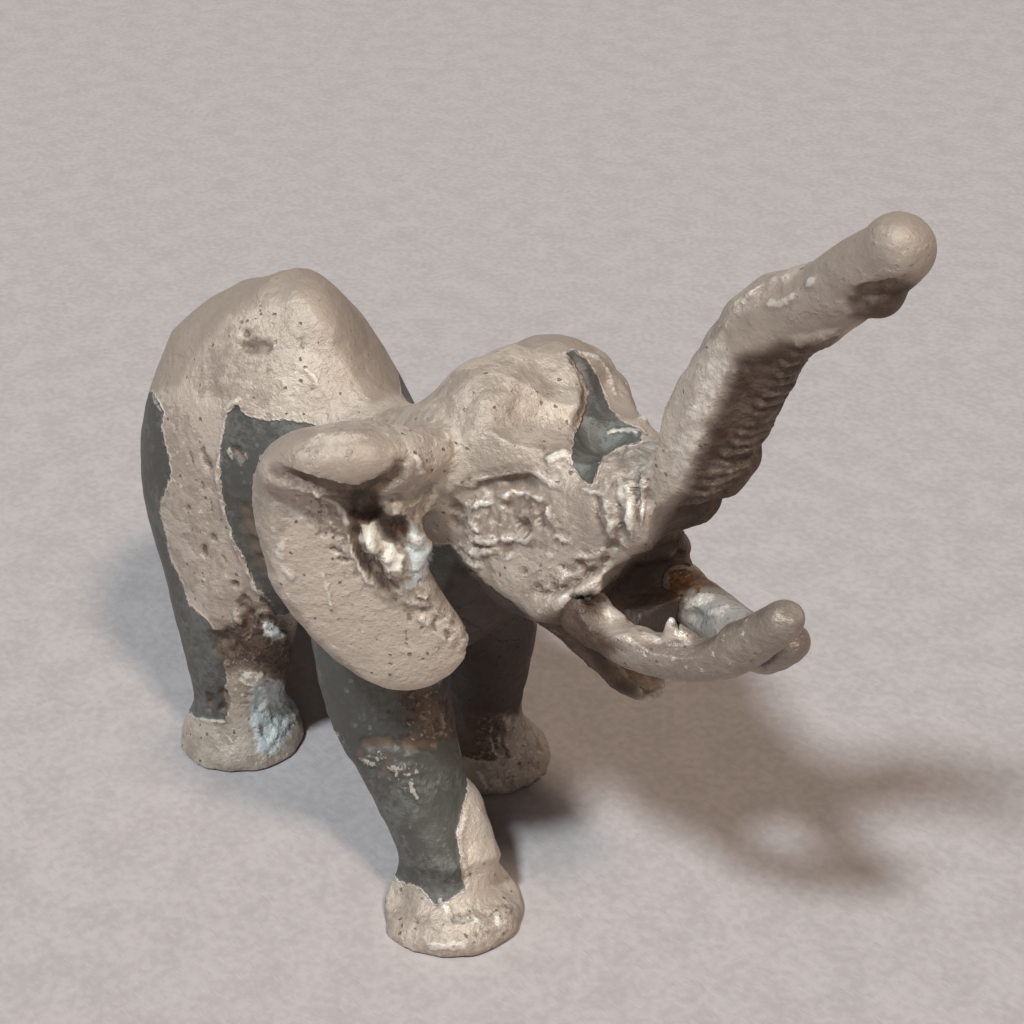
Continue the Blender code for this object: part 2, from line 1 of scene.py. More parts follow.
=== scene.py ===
import math
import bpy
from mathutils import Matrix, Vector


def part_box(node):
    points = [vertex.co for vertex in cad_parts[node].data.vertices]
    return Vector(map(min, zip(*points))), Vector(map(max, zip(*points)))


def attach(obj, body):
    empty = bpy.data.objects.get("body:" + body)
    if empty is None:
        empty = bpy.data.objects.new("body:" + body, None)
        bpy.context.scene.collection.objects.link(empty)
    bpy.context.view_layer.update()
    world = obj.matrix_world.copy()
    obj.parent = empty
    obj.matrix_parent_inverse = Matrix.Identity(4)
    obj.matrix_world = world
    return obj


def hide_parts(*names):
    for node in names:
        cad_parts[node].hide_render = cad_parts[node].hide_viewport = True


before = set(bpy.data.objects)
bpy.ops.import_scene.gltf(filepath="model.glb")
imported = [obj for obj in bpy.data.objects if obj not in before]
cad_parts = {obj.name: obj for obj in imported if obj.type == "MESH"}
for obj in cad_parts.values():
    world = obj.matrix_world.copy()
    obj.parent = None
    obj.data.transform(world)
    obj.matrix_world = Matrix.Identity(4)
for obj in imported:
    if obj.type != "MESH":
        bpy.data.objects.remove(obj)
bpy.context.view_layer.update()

from types import SimpleNamespace

import bmesh
import bpy
import numpy as np
from mathutils import Vector, noise
from mathutils.bvhtree import BVHTree

scene = bpy.context.scene
scene.view_settings.view_transform = "Standard"
mm = 0.001
midplane = 1.776 * mm  # the figure's plane of symmetry
noise.seed_set(1)  # without a seed noise_vector differs from run to run


# the camera, and how a pixel of the photograph meets the figure
cameraView = {"place": (80.33, -64.95, 89.62), "aim": (-32.41, 32.67, 0), "angle": 30, "pixels": 1024}


def addCamera():
    lens = bpy.data.cameras.new("photoView")
    lens.lens_unit = "FOV"
    lens.angle = math.radians(cameraView["angle"])
    lens.clip_start = mm
    holder = bpy.data.objects.new("photoView", lens)
    scene.collection.objects.link(holder)
    place, aim = Vector(cameraView["place"]) * mm, Vector(cameraView["aim"]) * mm
    turn = (aim - place).to_track_quat("-Z", "Y")
    holder.location = place
    holder.rotation_euler = turn.to_euler()
    scene.camera = holder
    return place, turn.to_matrix()


cameraPlace, cameraTurn = addCamera()
halfFrame = cameraView["pixels"] / 2
pixelShare = math.tan(math.radians(cameraView["angle"]) / 2) / halfFrame


def pixelRay(x, y):
    across, up = (x - halfFrame) * pixelShare, (halfFrame - y) * pixelShare
    return (cameraTurn @ Vector((across, up, -1))).normalized()


def toPixels(places):
    # pixel columns and rows, and the depth in metres
    local = (places - np.array(cameraPlace)) @ np.array(cameraTurn)
    depth = -local[:, 2]
    return np.stack((halfFrame + local[:, 0] / depth / pixelShare,
                     halfFrame - local[:, 1] / depth / pixelShare), 1), depth


# mesh helpers
def addObject(name, mesh):
    made = bpy.data.objects.new(name, mesh)
    scene.collection.objects.link(made)
    return made


def mergedCopy(nodeName, swell=0):
    copied = bmesh.new()
    copied.from_mesh(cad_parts[nodeName].data)
    bmesh.ops.remove_doubles(copied, verts=copied.verts, dist=mm / 1000)
    copied.normal_update()
    for vert in copied.verts:
        vert.co += vert.normal * swell
    mesh = bpy.data.meshes.new(nodeName)
    copied.to_mesh(mesh)
    copied.free()
    return mesh


def fusedMesh(nodeNames, cell, swell):
    joined = bmesh.new()
    for nodeName in nodeNames:
        joined.from_mesh(mergedCopy(nodeName, swell))
    mesh = bpy.data.meshes.new("fused")
    joined.to_mesh(mesh)
    joined.free()
    holder = addObject("fused", mesh)
    remesh = holder.modifiers.new("fuse", "REMESH")
    remesh.mode = "VOXEL"
    remesh.voxel_size = cell
    bpy.context.view_layer.update()
    made = bpy.data.meshes.new_from_object(holder.evaluated_get(bpy.context.evaluated_depsgraph_get()))
    bpy.data.objects.remove(holder)
    return largestShell(made)


def largestShell(mesh):
    # sockets leave small closed shells inside, which go
    owner = list(range(len(mesh.vertices)))

    def top(index):
        while owner[index] != index:
            owner[index] = owner[owner[index]]
            index = owner[index]
        return index

    for first, second in readArray(mesh.edges, "vertices", 2, int).tolist():
        owner[top(first)] = top(second)
    shells = np.array([top(index) for index in range(len(owner))])
    biggest = np.bincount(shells).argmax()
    work = bmesh.new()
    work.from_mesh(mesh)
    work.verts.ensure_lookup_table()
    extra = [work.verts[index] for index in np.flatnonzero(shells != biggest).tolist()]
    bmesh.ops.delete(work, geom=extra, context="VERTS")
    work.to_mesh(mesh)
    work.free()
    return mesh


def readArray(items, key, width, kind=float):
    values = np.empty(len(items) * width, dtype=kind)
    items.foreach_get(key, values)
    return values.reshape(-1, width) if width > 1 else values


def relaxed(values, edges, rounds, share=0.5):
    # every point moves towards the mean of its neighbours
    starts = np.concatenate((edges[:, 0], edges[:, 1]))
    ends = np.concatenate((edges[:, 1], edges[:, 0]))
    count = len(values)
    degree = np.maximum(np.bincount(starts, minlength=count), 1)
    columns = [column.copy() for column in (values.T if values.ndim > 1 else [values])]
    for _ in range(rounds):
        columns = [column * (1 - share)
                   + share * np.bincount(starts, weights=column[ends], minlength=count) / degree
                   for column in columns]
    return np.stack(columns, 1) if values.ndim > 1 else columns[0]


def noiseAt(places, size, seed):
    shift = Vector((seed * 7.3, seed * 3.1, seed * 5.7))
    return np.array([noise.noise(Vector(place) / (size * mm) + shift) for place in places.tolist()])


def makeSkin(mesh):
    skin = SimpleNamespace(mesh=mesh, places=readArray(mesh.vertices, "co", 3),
                           edges=readArray(mesh.edges, "vertices", 2, int))
    skin.grit = noiseAt(skin.places, sculptValues["gritSize"], sculptValues["gritSeed"])
    driftSize = sculptValues["driftSize"] * mm
    drift = [noise.noise_vector(Vector(place) / driftSize) for place in skin.places.tolist()]
    skin.drift = np.array(drift) * sculptValues["drift"] * mm
    skin.lit = np.zeros(len(skin.places))
    skin.shade = np.zeros(len(skin.places))
    return skin


def evened(skin, rounds):
    # smooths facets away and gives back what a plain smoothing shrinks
    soft = relaxed(skin.places, skin.edges, rounds)
    skin.places = soft + relaxed(skin.places - soft, skin.edges, rounds)


def refresh(skin, withTree=True):
    mesh = skin.mesh
    mesh.vertices.foreach_set("co", skin.places.ravel())
    mesh.update()
    skin.normals = readArray(mesh.vertex_normals, "vector", 3)
    skin.pixels, skin.depth = toPixels(skin.places)
    if withTree:
        faces = readArray(mesh.polygons, "vertices", 4, int).tolist()
        skin.tree = BVHTree.FromPolygons(skin.places.tolist(), faces)


# sculpting: a stroke follows pixels of the photograph over the skin, sizes in mm
sculptValues = {
    "step": 3,  # pixels between the points of a stroke
    "gritSize": 0.9, "gritSeed": 9, "grit": 0.7, "gritRange": (0.3, 1.6),
    "driftSize": 0.5, "drift": 0.16,
    "flakeRadius": 0.8, "flakeWidth": 0.68, "flakeHeight": 0.5, "flakeEdge": 2.4,
    "pitRadius": 0.3, "pitWidth": 0.85, "pitHeight": 0.5,
    "taper": 5, "tip": 0.25, "smoothPaint": 0.4,
}


def pixelPath(text):
    return [tuple(int(number) for number in pair.split(",")) for pair in text.split()]


def cut(radius, height, *paths, **more):
    # one stroke along each path
    return [{"pixels": pixelPath(path), "radius": radius, "height": height, **more} for path in paths]


def both(radius, height, *paths, **more):
    # the same, and mirrored to the far side
    return cut(radius, height, *paths, both=True, **more)


def shove(place, radius, push):
    return {"places": [place], "radius": radius, "push": push, "ragged": 0}


def strokePath(skin, pixels, farSide):
    places, normals, steps = [], [], []
    for (x, y), (nextX, nextY) in zip(pixels, pixels[1:] or pixels):
        count = max(1, round(math.hypot(nextX - x, nextY - y) / sculptValues["step"]))
        steps += [(x + (nextX - x) * step / count, y + (nextY - y) * step / count) for step in range(count)]
    steps.append(pixels[-1])
    for x, y in steps:
        place, normal, _, _ = skin.tree.ray_cast(cameraPlace, pixelRay(x, y))
        if place is not None and farSide:
            place.y = 2 * midplane - place.y
            place, normal, _, _ = skin.tree.find_nearest(place)
        if place is not None:
            places.append(place)
            normals.append(normal)
    return np.array(places), np.array(normals)


def strokeSize(stroke):
    # small ridges are flakes with steep edges, small dents are pits, and all other strokes are rounded
    values = sculptValues
    radius, height = stroke["radius"] * mm, stroke.get("height", 0) * mm
    flake = height > 0 and radius < values["flakeRadius"] * mm and not stroke.get("smooth")
    if flake:
        return radius * values["flakeWidth"], height * values["flakeHeight"], True
    if height < 0 and radius < values["pitRadius"] * mm:
        return radius * values["pitWidth"], height * values["pitHeight"], False
    return radius, height, False


def carve(skin, strokeList, only=None):
    values = sculptValues
    for stroke in strokeList:
        pixels, ragged = stroke.get("pixels"), stroke.get("ragged", 1)
        radius, height, flake = strokeSize(stroke)
        for farSide in (False, True)[:2 if stroke.get("both") else 1]:
            if pixels:
                path, ways = strokePath(skin, pixels, farSide)
            else:
                path, ways = np.array(stroke["places"]) * mm + (0, midplane, 0), None
            if not len(path):
                print("stroke misses the figure:", pixels[0])
                continue
            near = np.all((skin.places > path.min(0) - radius) & (skin.places < path.max(0) + radius), 1)
            if only is not None:
                near &= only
            chosen = np.flatnonzero(near)
            wandering = skin.places[chosen] + skin.drift[chosen] * ragged
            gaps = np.linalg.norm(wandering[:, None] - path[None], axis=2)
            closest = gaps.argmin(1)
            reach = gaps[np.arange(len(chosen)), closest] / radius
            facing, ends = 1, 1
            if ways is not None:
                facing = np.clip((skin.normals[chosen] * ways[closest]).sum(1) * 2, 0, 1)
            if len(path) > 4 and not stroke.get("blunt"):
                along = closest / (len(path) - 1)
                ends = np.clip(np.minimum(along, 1 - along) * values["taper"] + values["tip"], 0, 1)
            dome = np.clip(1 - reach ** 2, 0, 1) * facing * ends
            if "push" in stroke:
                mirror = (1, -1 if farSide else 1, 1)
                skin.places[chosen] += dome[:, None] * np.array(stroke["push"]) * mirror * mm
                continue
            weight = np.clip((1 - reach) * values["flakeEdge"], 0, 1) * facing * ends if flake else dome
            # raised strokes paint highlights into lit, and dents paint shade into shade
            if ragged:
                painted = skin.lit if height > 0 else skin.shade
                paint = stroke.get("paint", values["smoothPaint"] if stroke.get("smooth") else 1)
                painted[chosen] = np.maximum(painted[chosen], dome * paint)
            weight = weight * np.clip(1 + skin.grit[chosen] * ragged * values["grit"], *values["gritRange"])
            skin.places[chosen] += skin.normals[chosen] * (weight * height)[:, None]


def roughen(skin, size, height, seed):
    # low lumps in the casting
    skin.places += skin.normals * (noiseAt(skin.places, size, seed) * height * mm)[:, None]


# patches of finish: how far each point lies inside an outline
patchValues = {
    "pixelsPerMm": 14.8, "margin": 45,  # pixels looked at round an outline
    "outside": -3.0, "furthest": 98, "beyond": 1.5,  # mm behind the furthest point that is seen, in per cent
}
finishNames = ("slate", "umber", "cream", "ice", "pale", "rust", "pitch", "bronze")


def area(finish, pieces, outline, **more):
    return {"finish": finish, "on": pieces.split(), "outline": pixelPath(outline), **more}


def insideOutline(pixels, outline):
    corners = np.array(outline, float)
    following = np.roll(corners, -1, 0)
    spans = following - corners
    offsets = pixels[:, None] - corners[None]
    share = np.clip((offsets * spans).sum(2) / (spans ** 2).sum(1), 0, 1)
    gap = np.linalg.norm(offsets - share[..., None] * spans[None], axis=2).min(1)
    crossing = (corners[:, 1] > pixels[:, 1:]) != (following[:, 1] > pixels[:, 1:])
    height = np.where(spans[:, 1] == 0, 1, spans[:, 1])
    at = corners[:, 0] + (pixels[:, 1:] - corners[:, 1]) * spans[:, 0] / height
    inside = (crossing & (pixels[:, :1] < at)).sum(1) % 2 == 1
    return np.where(inside, gap, -gap)


def patchDepths(skin, patches, pieceOf=None):
    # each finish's depth inside its patches in mm, seen from the camera and through a mirror on the midplane
    values = patchValues
    deep = {}
    mirrored = skin.places * (1, -1, 1) + (0, 2 * midplane, 0)
    facing = (skin.normals * (np.array(cameraPlace) - skin.places)).sum(1) > 0
    farPixels, farDepth = toPixels(mirrored)
    farFacing = (skin.normals * (1, -1, 1) * (np.array(cameraPlace) - mirrored)).sum(1) > 0
    views = [(skin.pixels, skin.depth, facing), (farPixels, farDepth, farFacing)]
    for patch in patches:
        reached = deep.setdefault(patch["finish"], np.full(len(skin.places), values["outside"]))
        outline = np.array(patch["outline"], float)
        low, high = outline.min(0) - values["margin"], outline.max(0) + values["margin"]
        for pixels, depth, turned in views[:2 if patch.get("both") else 1]:
            near = np.all((pixels > low) & (pixels < high), 1)
            if pieceOf is not None:
                near &= np.isin(pieceOf, [pieceNames.index(name) for name in patch["on"]])
            chosen = np.flatnonzero(near)
            if not len(chosen):
                continue
            inside = insideOutline(pixels[chosen], patch["outline"]) / values["pixelsPerMm"]
            seen = (inside > 0) & turned[chosen]
            if not seen.any():
                continue
            furthest = np.percentile(depth[chosen][seen], values["furthest"]) / mm
            limit = furthest + patch.get("beyond", values["beyond"])
            inside = np.minimum(inside, limit - depth[chosen] / mm)
            reached[chosen] = np.maximum(reached[chosen], inside)
    return deep


# the cast figure: body, head, trunk, ears, legs and tail as one skin, later parted along the castings' seams
castValues = {
    "cell": 0.169, "evenRounds": 30,
    "swell": 0.18,  # closes the gaps between the castings, and is taken off again
    "lumps": ((2.4, 0.05, 1), (0.9, 0.04, 2)),  # size, height and seed
    "nearPiece": 1.5, "searchReach": 3, "voteRounds": 6,
}
pieceNames = ["body", "head", "trunk", "right_ear", "left_ear", "front_right_leg", "front_left_leg",
              "rear_right_leg", "rear_left_leg", "tail"]

formStrokes = [
    # rump: lower towards the tail, fuller towards the back
    shove((-26.5, 0, 35), 6.5, (0, 0, -1.3)),
    shove((-19.2, 0.8, 36.4), 4, (0, 0, 0.25)),
    shove((-15.8, 0.8, 35.4), 3.6, (0.2, 0, 0.5)),
    # the trunk's root narrows behind
    shove((15.2, 0, 39.8), 4.2, (1.7, 0, -0.2)),
    # crown
    *both(3.2, 0, "530,350 550,350 570,354", push=(0, 0, 0.7), blunt=True, ragged=0),
    # rear edge of the ear
    *cut(2.6, 0, "256,460 256,500 262,545", push=(0.33, 0.38, 0), blunt=True, ragged=0),
    # far lip reaches further forwards, and the notch under the trunk lies further back
    *cut(2.0, 0, "680,576 686,590", push=(0.7, 0, -0.2), ragged=0),
    shove((19.4, 0, 34.8), 3.2, (-1.3, 0, 0.5)),
    shove((21.2, 0, 38.4), 2.6, (0.8, 0, 0)),
    shove((20.2, 0, 35.4), 2.4, (-0.6, 0, 0.5)),
    # a fuller shin
    *cut(2.2, 0, "474,808 480,828 487,850", push=(0.6, 0.5, 0), blunt=True, ragged=0),
    # the mouth's floor, lower behind the near tusk
    *cut(1.6, 0, "640,616 652,619 664,621", push=(0, 0, -1.0), blunt=True, ragged=0),
    # a fuller dome above the brow, and a lower far rim
    *both(2.8, 0.5, "508,430 535,436 562,438", blunt=True, ragged=0),
    *cut(2.2, 0, "612,366 622,386 628,406", push=(-0.6, 0, 0), blunt=True, ragged=0),
    # rounded front edge of the dome above a deep crown groove
    *both(1.9, -1.1, "594,358 606,385 608,412 600,440 594,462", ragged=0),
    # eye socket, and the hollow between the ear and the eye
    *both(1.4, -0.45, "466,512 480,494 510,488 534,492", ragged=0),
    *both(1.8, -0.35, "447,490 440,515 440,545 448,565", ragged=0),
    # feet flare into thin rims
    *cut(2.2, 0, "392,905 388,922", push=(-0.1, -0.1, -0.3), blunt=True, ragged=0),
    *cut(1.8, -0.75, "398,892 425,898 455,898 485,890 508,880", blunt=True, ragged=0),
    *cut(1.0, 0.25, "386,926 405,940 440,948 480,944 510,930", blunt=True, ragged=0),
]

headStrokes = [
    # thin rims on the far crown
    *cut(0.35, 0.3, "574,351 595,358 606,368 612,382 614,398"),
    *cut(0.35, 0.35, "607,434 626,430 641,433"),
    *cut(0.5, -0.35, "570,352 580,368 588,388 586,408 578,428"),
    # brow over the eye and the dark recess below it
    *both(0.42, 0.43, "459,483 472,486 476,479 495,476 512,473 526,471 538,474 546,479 557,486 569,492",
        ragged=0.5),
    *both(0.8, -0.3, "466,492 480,486 495,483 512,480 530,479 540,483", ragged=0.5, paint=0.55),
    *both(0.8, -0.35, "459,500 455,512 456,524 462,534", paint=0.6),
    *both(0.55, 0.3, "545,462 556,456 570,452"),
    *cut(0.25, -0.3, "543,445 547,452"),
    *cut(0.35, 0.25, "552,470 564,467"),
    *both(0.5, 0.15, "444,425 447,440 446,462", paint=0.6),
    # eye
    *cut(0.6, 0.3, "503,492 508,494", smooth=True, paint=0),
    *both(0.5, -0.45, "515,530 523,527 530,525"),
    *both(0.9, -0.15, "490,512 505,515 520,512", paint=0.55),
    *both(0.38, 0.4, "470,507 480,503 491,502"),
    *cut(0.3, 0.3, "478,495 486,492"),
    *both(0.38, 0.4, "513,489 524,494 534,497 545,501"),
    *both(0.38, 0.35, "547,505 551,516 552,524"),
    *cut(0.35, 0.3, "470,520 474,528 481,531"),
    *both(0.4, 0.38, "463,532 474,538 490,541 507,538 520,541 534,539"),
    *both(0.38, 0.35, "466,551 480,554 495,548"),
    *both(0.35, 0.35, "466,562 474,563 481,566"),
    *cut(0.3, 0.25, "455,548 462,544"),
    *cut(0.3, 0.2, "500,558 510,555"),
    *cut(0.35, 0.3, "549,535 560,536 570,540 573,548"),
    *cut(0.3, -0.3, "474,545 490,547"),
    *cut(0.3, -0.25, "466,570 476,574", "540,515 541,525"),
    # beside the ear
    *cut(0.5, 0.35, "437,485 431,500 420,516"),
    *cut(0.5, -0.3, "402,458 400,470 399,482"),
    *cut(0.45, 0.25, "413,454 419,465 424,476"),
    *cut(0.3, 0.25, "424,490 418,500 408,508"),
    # cheek: a smooth lip below a pitted, flaking band
    *both(0.75, 0.4, "520,603 532,611 549,607 564,602 580,596 597,585 611,574 624,559", smooth=True,
        ragged=0.3, paint=0.45),
    *both(0.4, -0.35, "526,594 545,596 562,590 580,580 600,568 612,556", paint=0.7),
    *cut(0.5, 0.25, "545,556 556,553"),
    *both(0.35, 0.3, "572,556 590,556 602,552"),
    *cut(0.4, 0.25, "560,578 576,579"),
    *cut(0.28, -0.3, "562,566 568,570", "578,562 584,566", "588,572", "536,585 542,589", "548,592 553,589"),
    *cut(0.25, -0.25, "526,572", "540,565"),
    *cut(0.5, -0.3, "606,552 616,540", paint=0.7),
    # folds at the root of the trunk
    *cut(0.35, 0.25, "580,489 595,492 606,496"),
    *both(0.38, 0.35, "604,498 608,512 611,528 615,543"),
    *both(0.35, 0.25, "618,470 622,490 620,506"),
    *both(0.4, 0.4, "627,480 630,500 631,518 632,536"),
    *both(0.38, 0.35, "641,458 643,480 643,500 640,524"),
    *both(0.35, -0.3, "597,500 598,520 603,540", paint=0.7),
    *both(0.35, -0.35, "616,500 621,520 622,540", "636,468 637,500 636,530", paint=0.8),
    *both(0.5, -0.2, "650,450 652,480 650,510", paint=0.4),
    *cut(0.35, 0.3, "620,540 627,546"),
    *cut(0.3, 0.25, "608,546 600,551 590,549"),
]

earStrokes = [
    # deep crease under the rolled fold, opening into a torn hollow
    *cut(0.7, -0.9, "276,474 298,482 320,488 340,492 360,493 380,487 396,476", ragged=0.3),
    *cut(0.9, -0.9, "355,503 366,512 376,522"),
    *cut(0.55, -0.8, "356,525 360,545 368,562 382,582 396,594"),
    *cut(0.6, -0.7, "398,520 402,530 404,542"),
    *cut(0.32, 0.3, "280,481 300,487 320,495 336,502 344,512 350,532 354,556 366,576 380,594"),
    *cut(0.5, 0.15, "304,439 330,436 350,434 368,434", smooth=True),
    # torn flap, solder and their holes
    *cut(0.75, 0.9, "380,500 392,502 402,508"),
    *cut(0.4, 0.5, "384,510 392,512"),
    *cut(0.7, 0.9, "366,530 370,538 371,548", smooth=True),
    *cut(0.28, -0.8, "369,545", ragged=0.3),
    *cut(0.85, 0.9, "385,548 392,556 396,568", smooth=True),
    *cut(0.7, 0.5, "414,530 421,545 418,572", smooth=True),
    # flaking grains along the front edge
    *cut(0.3, 0.2, "402,598 412,603 424,606", paint=0.7),
    *cut(0.3, 0.3, "416,594 428,598"),
    *cut(0.3, 0.2, "430,611 440,615 450,622", paint=0.7),
    *cut(0.25, 0.15, "452,628 460,634 464,644", paint=0.7),
    *cut(0.3, 0.25, "420,618 428,624", "438,632 446,640"),
    *cut(0.28, -0.3, "406,612 410,622"),
    *cut(0.26, -0.3, "434,622 436,630", "446,630 450,637", "424,610"),
    # rubbed flakes with painted highlights, a scratch and pits
    *cut(0.28, 0.25, "322,568 325,582 330,598 335,616"),
    *cut(0.6, 0.2, "280,540 282,550 280,560"),
    *cut(0.5, 0.2, "284,568 290,576"),
    *cut(0.3, 0.2, "302,505 312,510"),
    *cut(0.3, 0.25, "330,520 338,530"),
    *cut(0.22, -0.25, "318,500 322,506"),
    *cut(0.25, -0.3, "332,548 340,551"),
    *cut(0.22, -0.25, "340,560 346,562"),
    *cut(0.25, -0.3, "326,536"),
    *cut(0.22, -0.25, "345,575"),
    *cut(0.2, -0.25, "362,622", "376,640"),
    *cut(0.22, -0.3, "406,633 408,640"),
    *cut(0.2, -0.25, "350,645"),
    *cut(0.22, -0.25, "423,660"),
]

trunkStrokes = [
    # the edge between the rounded back and the flatter, wrinkled front
    *cut(0.9, 0.25, "672,505 690,478 705,440 722,398 742,355 778,342", smooth=True, paint=0.3),
    *cut(1.0, 0.12, "668,486 684,452 700,412 714,376 730,340", smooth=True, paint=0.75, ragged=0.6),
    *cut(0.7, -0.5, "852,298 875,292 904,286"),
    *cut(0.6, -0.3, "857,307"),
    *cut(0.45, 0.3, "765,302 782,304 798,292"),
    *cut(0.45, 0.25, "806,284 816,280"),
]

bodyStrokes = [
    *cut(0.4, 0.35, "225,412 232,402 237,400 239,406"),
    *cut(0.3, 0.2, "228,414 220,447 218,475 222,500 228,525 240,557 252,578 266,596 285,615", smooth=True,
        paint=0.6),
    *cut(1.4, -0.5, "245,500 252,540 268,580"),
    *cut(0.45, -0.4, "236,450 242,458"),
    *cut(0.35, 0.3, "232,444 230,452 233,461"),
    *cut(0.35, 0.35, "244,450 246,457 240,464"),
    *cut(0.4, -0.4, "245,334"),
    *cut(0.6, -0.3, "240,345 258,347 272,346"),
    *cut(0.35, 0.2, "264,350 278,346"),
    *cut(0.4, 0.2, "304,368 312,376 319,386"),
    *cut(0.4, -0.3, "200,448 206,460 212,472"),
    *cut(0.4, 0.2, "152,394 158,404 163,414"),
    *cut(0.35, -0.3, "188,508", "204,548 204,556", "213,538"),
    *cut(0.45, -0.4, "235,585"),
    *cut(0.22, -0.3, "189,452 192,462", "201,480 203,492", "210,500 212,512", "191,530", "222,556 226,562"),
    *cut(0.2, -0.25, "210,572", "300,340 303,347"),
    *cut(0.25, -0.25, "312,388"),
    *cut(0.2, -0.25, "264,376 268,372", "172,420 177,432"),
    *cut(0.3, 0.3, "236,455 240,448 243,456 238,463"),
    *cut(1.6, -0.2, "205,380 225,392", paint=0.5),
]

legStrokes = [
    # rear leg: hollow above the hock, curls beside it
    *cut(1.3, -0.7, "222,632 226,650 238,655"),
    *cut(0.5, -0.45, "248,595 242,606 250,618 250,632"),
    *cut(0.5, 0.3, "236,614 240,620"),
    *cut(0.4, 0.35, "255,622 256,613 265,609 272,614"),
    *cut(0.7, 0.4, "268,628 278,636 286,638"),
    *cut(0.5, 0.3, "253,584 258,592"),
    *cut(0.7, 0.4, "240,676 250,673 261,678"),
    *cut(0.4, 0.3, "195,718 210,721 226,721"),
    *cut(1.0, -0.4, "205,700 215,705"),
    *cut(0.4, 0.3, "268,676 276,682 280,690"),
    *cut(0.7, 0.35, "290,700 294,708 290,716"),
    *cut(0.25, -0.3, "296,709"),
    *cut(0.45, 0.2, "284,728 289,720"),
    # front leg: knee crease, curl and toes
    *cut(0.45, 0.3, "357,757 366,761 376,766", paint=0.8),
    *cut(0.3, 0.25, "410,780 413,790 420,800"),
    *cut(0.5, 0.15, "366,754 378,758 390,757", "384,766 396,768 408,766", paint=0.8),
    *cut(0.4, 0.15, "398,776 410,774 420,770", paint=0.7),
    *cut(0.7, -0.35, "400,745 420,742 440,745"),
    *cut(0.6, -0.25, "360,745 380,742 400,744"),
    *cut(0.35, 0.35, "436,704 441,714 442,728 438,738"),
    *cut(0.3, -0.35, "437,716 437,728"),
    *cut(0.5, 0.25, "442,905 450,916"),
    *cut(0.6, 0.25, "492,922 508,925"),
    *cut(0.5, 0.15, "425,945 445,947 470,944"),
    *cut(0.35, 0.2, "478,770 488,790 494,815"),
    *cut(0.3, 0.2, "316,700 326,715 340,735 352,752", paint=0.8),
    # crust on the rear foot
    *cut(0.4, 0.3, "262,688 268,700 262,712"),
    *cut(0.35, 0.3, "276,694 282,704"),
    *cut(0.4, 0.3, "270,722 276,734 268,744"),
    *cut(0.35, 0.25, "254,722 258,734"),
    *cut(0.3, -0.35, "272,706 274,716"),
    *cut(0.28, -0.35, "262,726 264,734"),
    *cut(0.28, -0.3, "284,714 282,724"),
    *cut(0.25, -0.3, "256,700 258,708"),
    *cut(0.28, -0.3, "275,745 268,752"),
    *cut(0.25, 0.2, "228,738 236,746"),
    *cut(0.5, -0.4, "222,690 226,702 222,715"),
    # shin and pad of the front foot
    *cut(0.35, 0.3, "470,800 460,832 462,862 470,886", paint=0.6),
    *cut(0.32, 0.3, "440,900 446,908"),
    *cut(0.4, 0.3, "492,912 500,920"),
    *cut(0.3, 0.25, "470,915 478,922"),
    *cut(0.25, -0.25, "412,915 420,925", "505,935"),
]

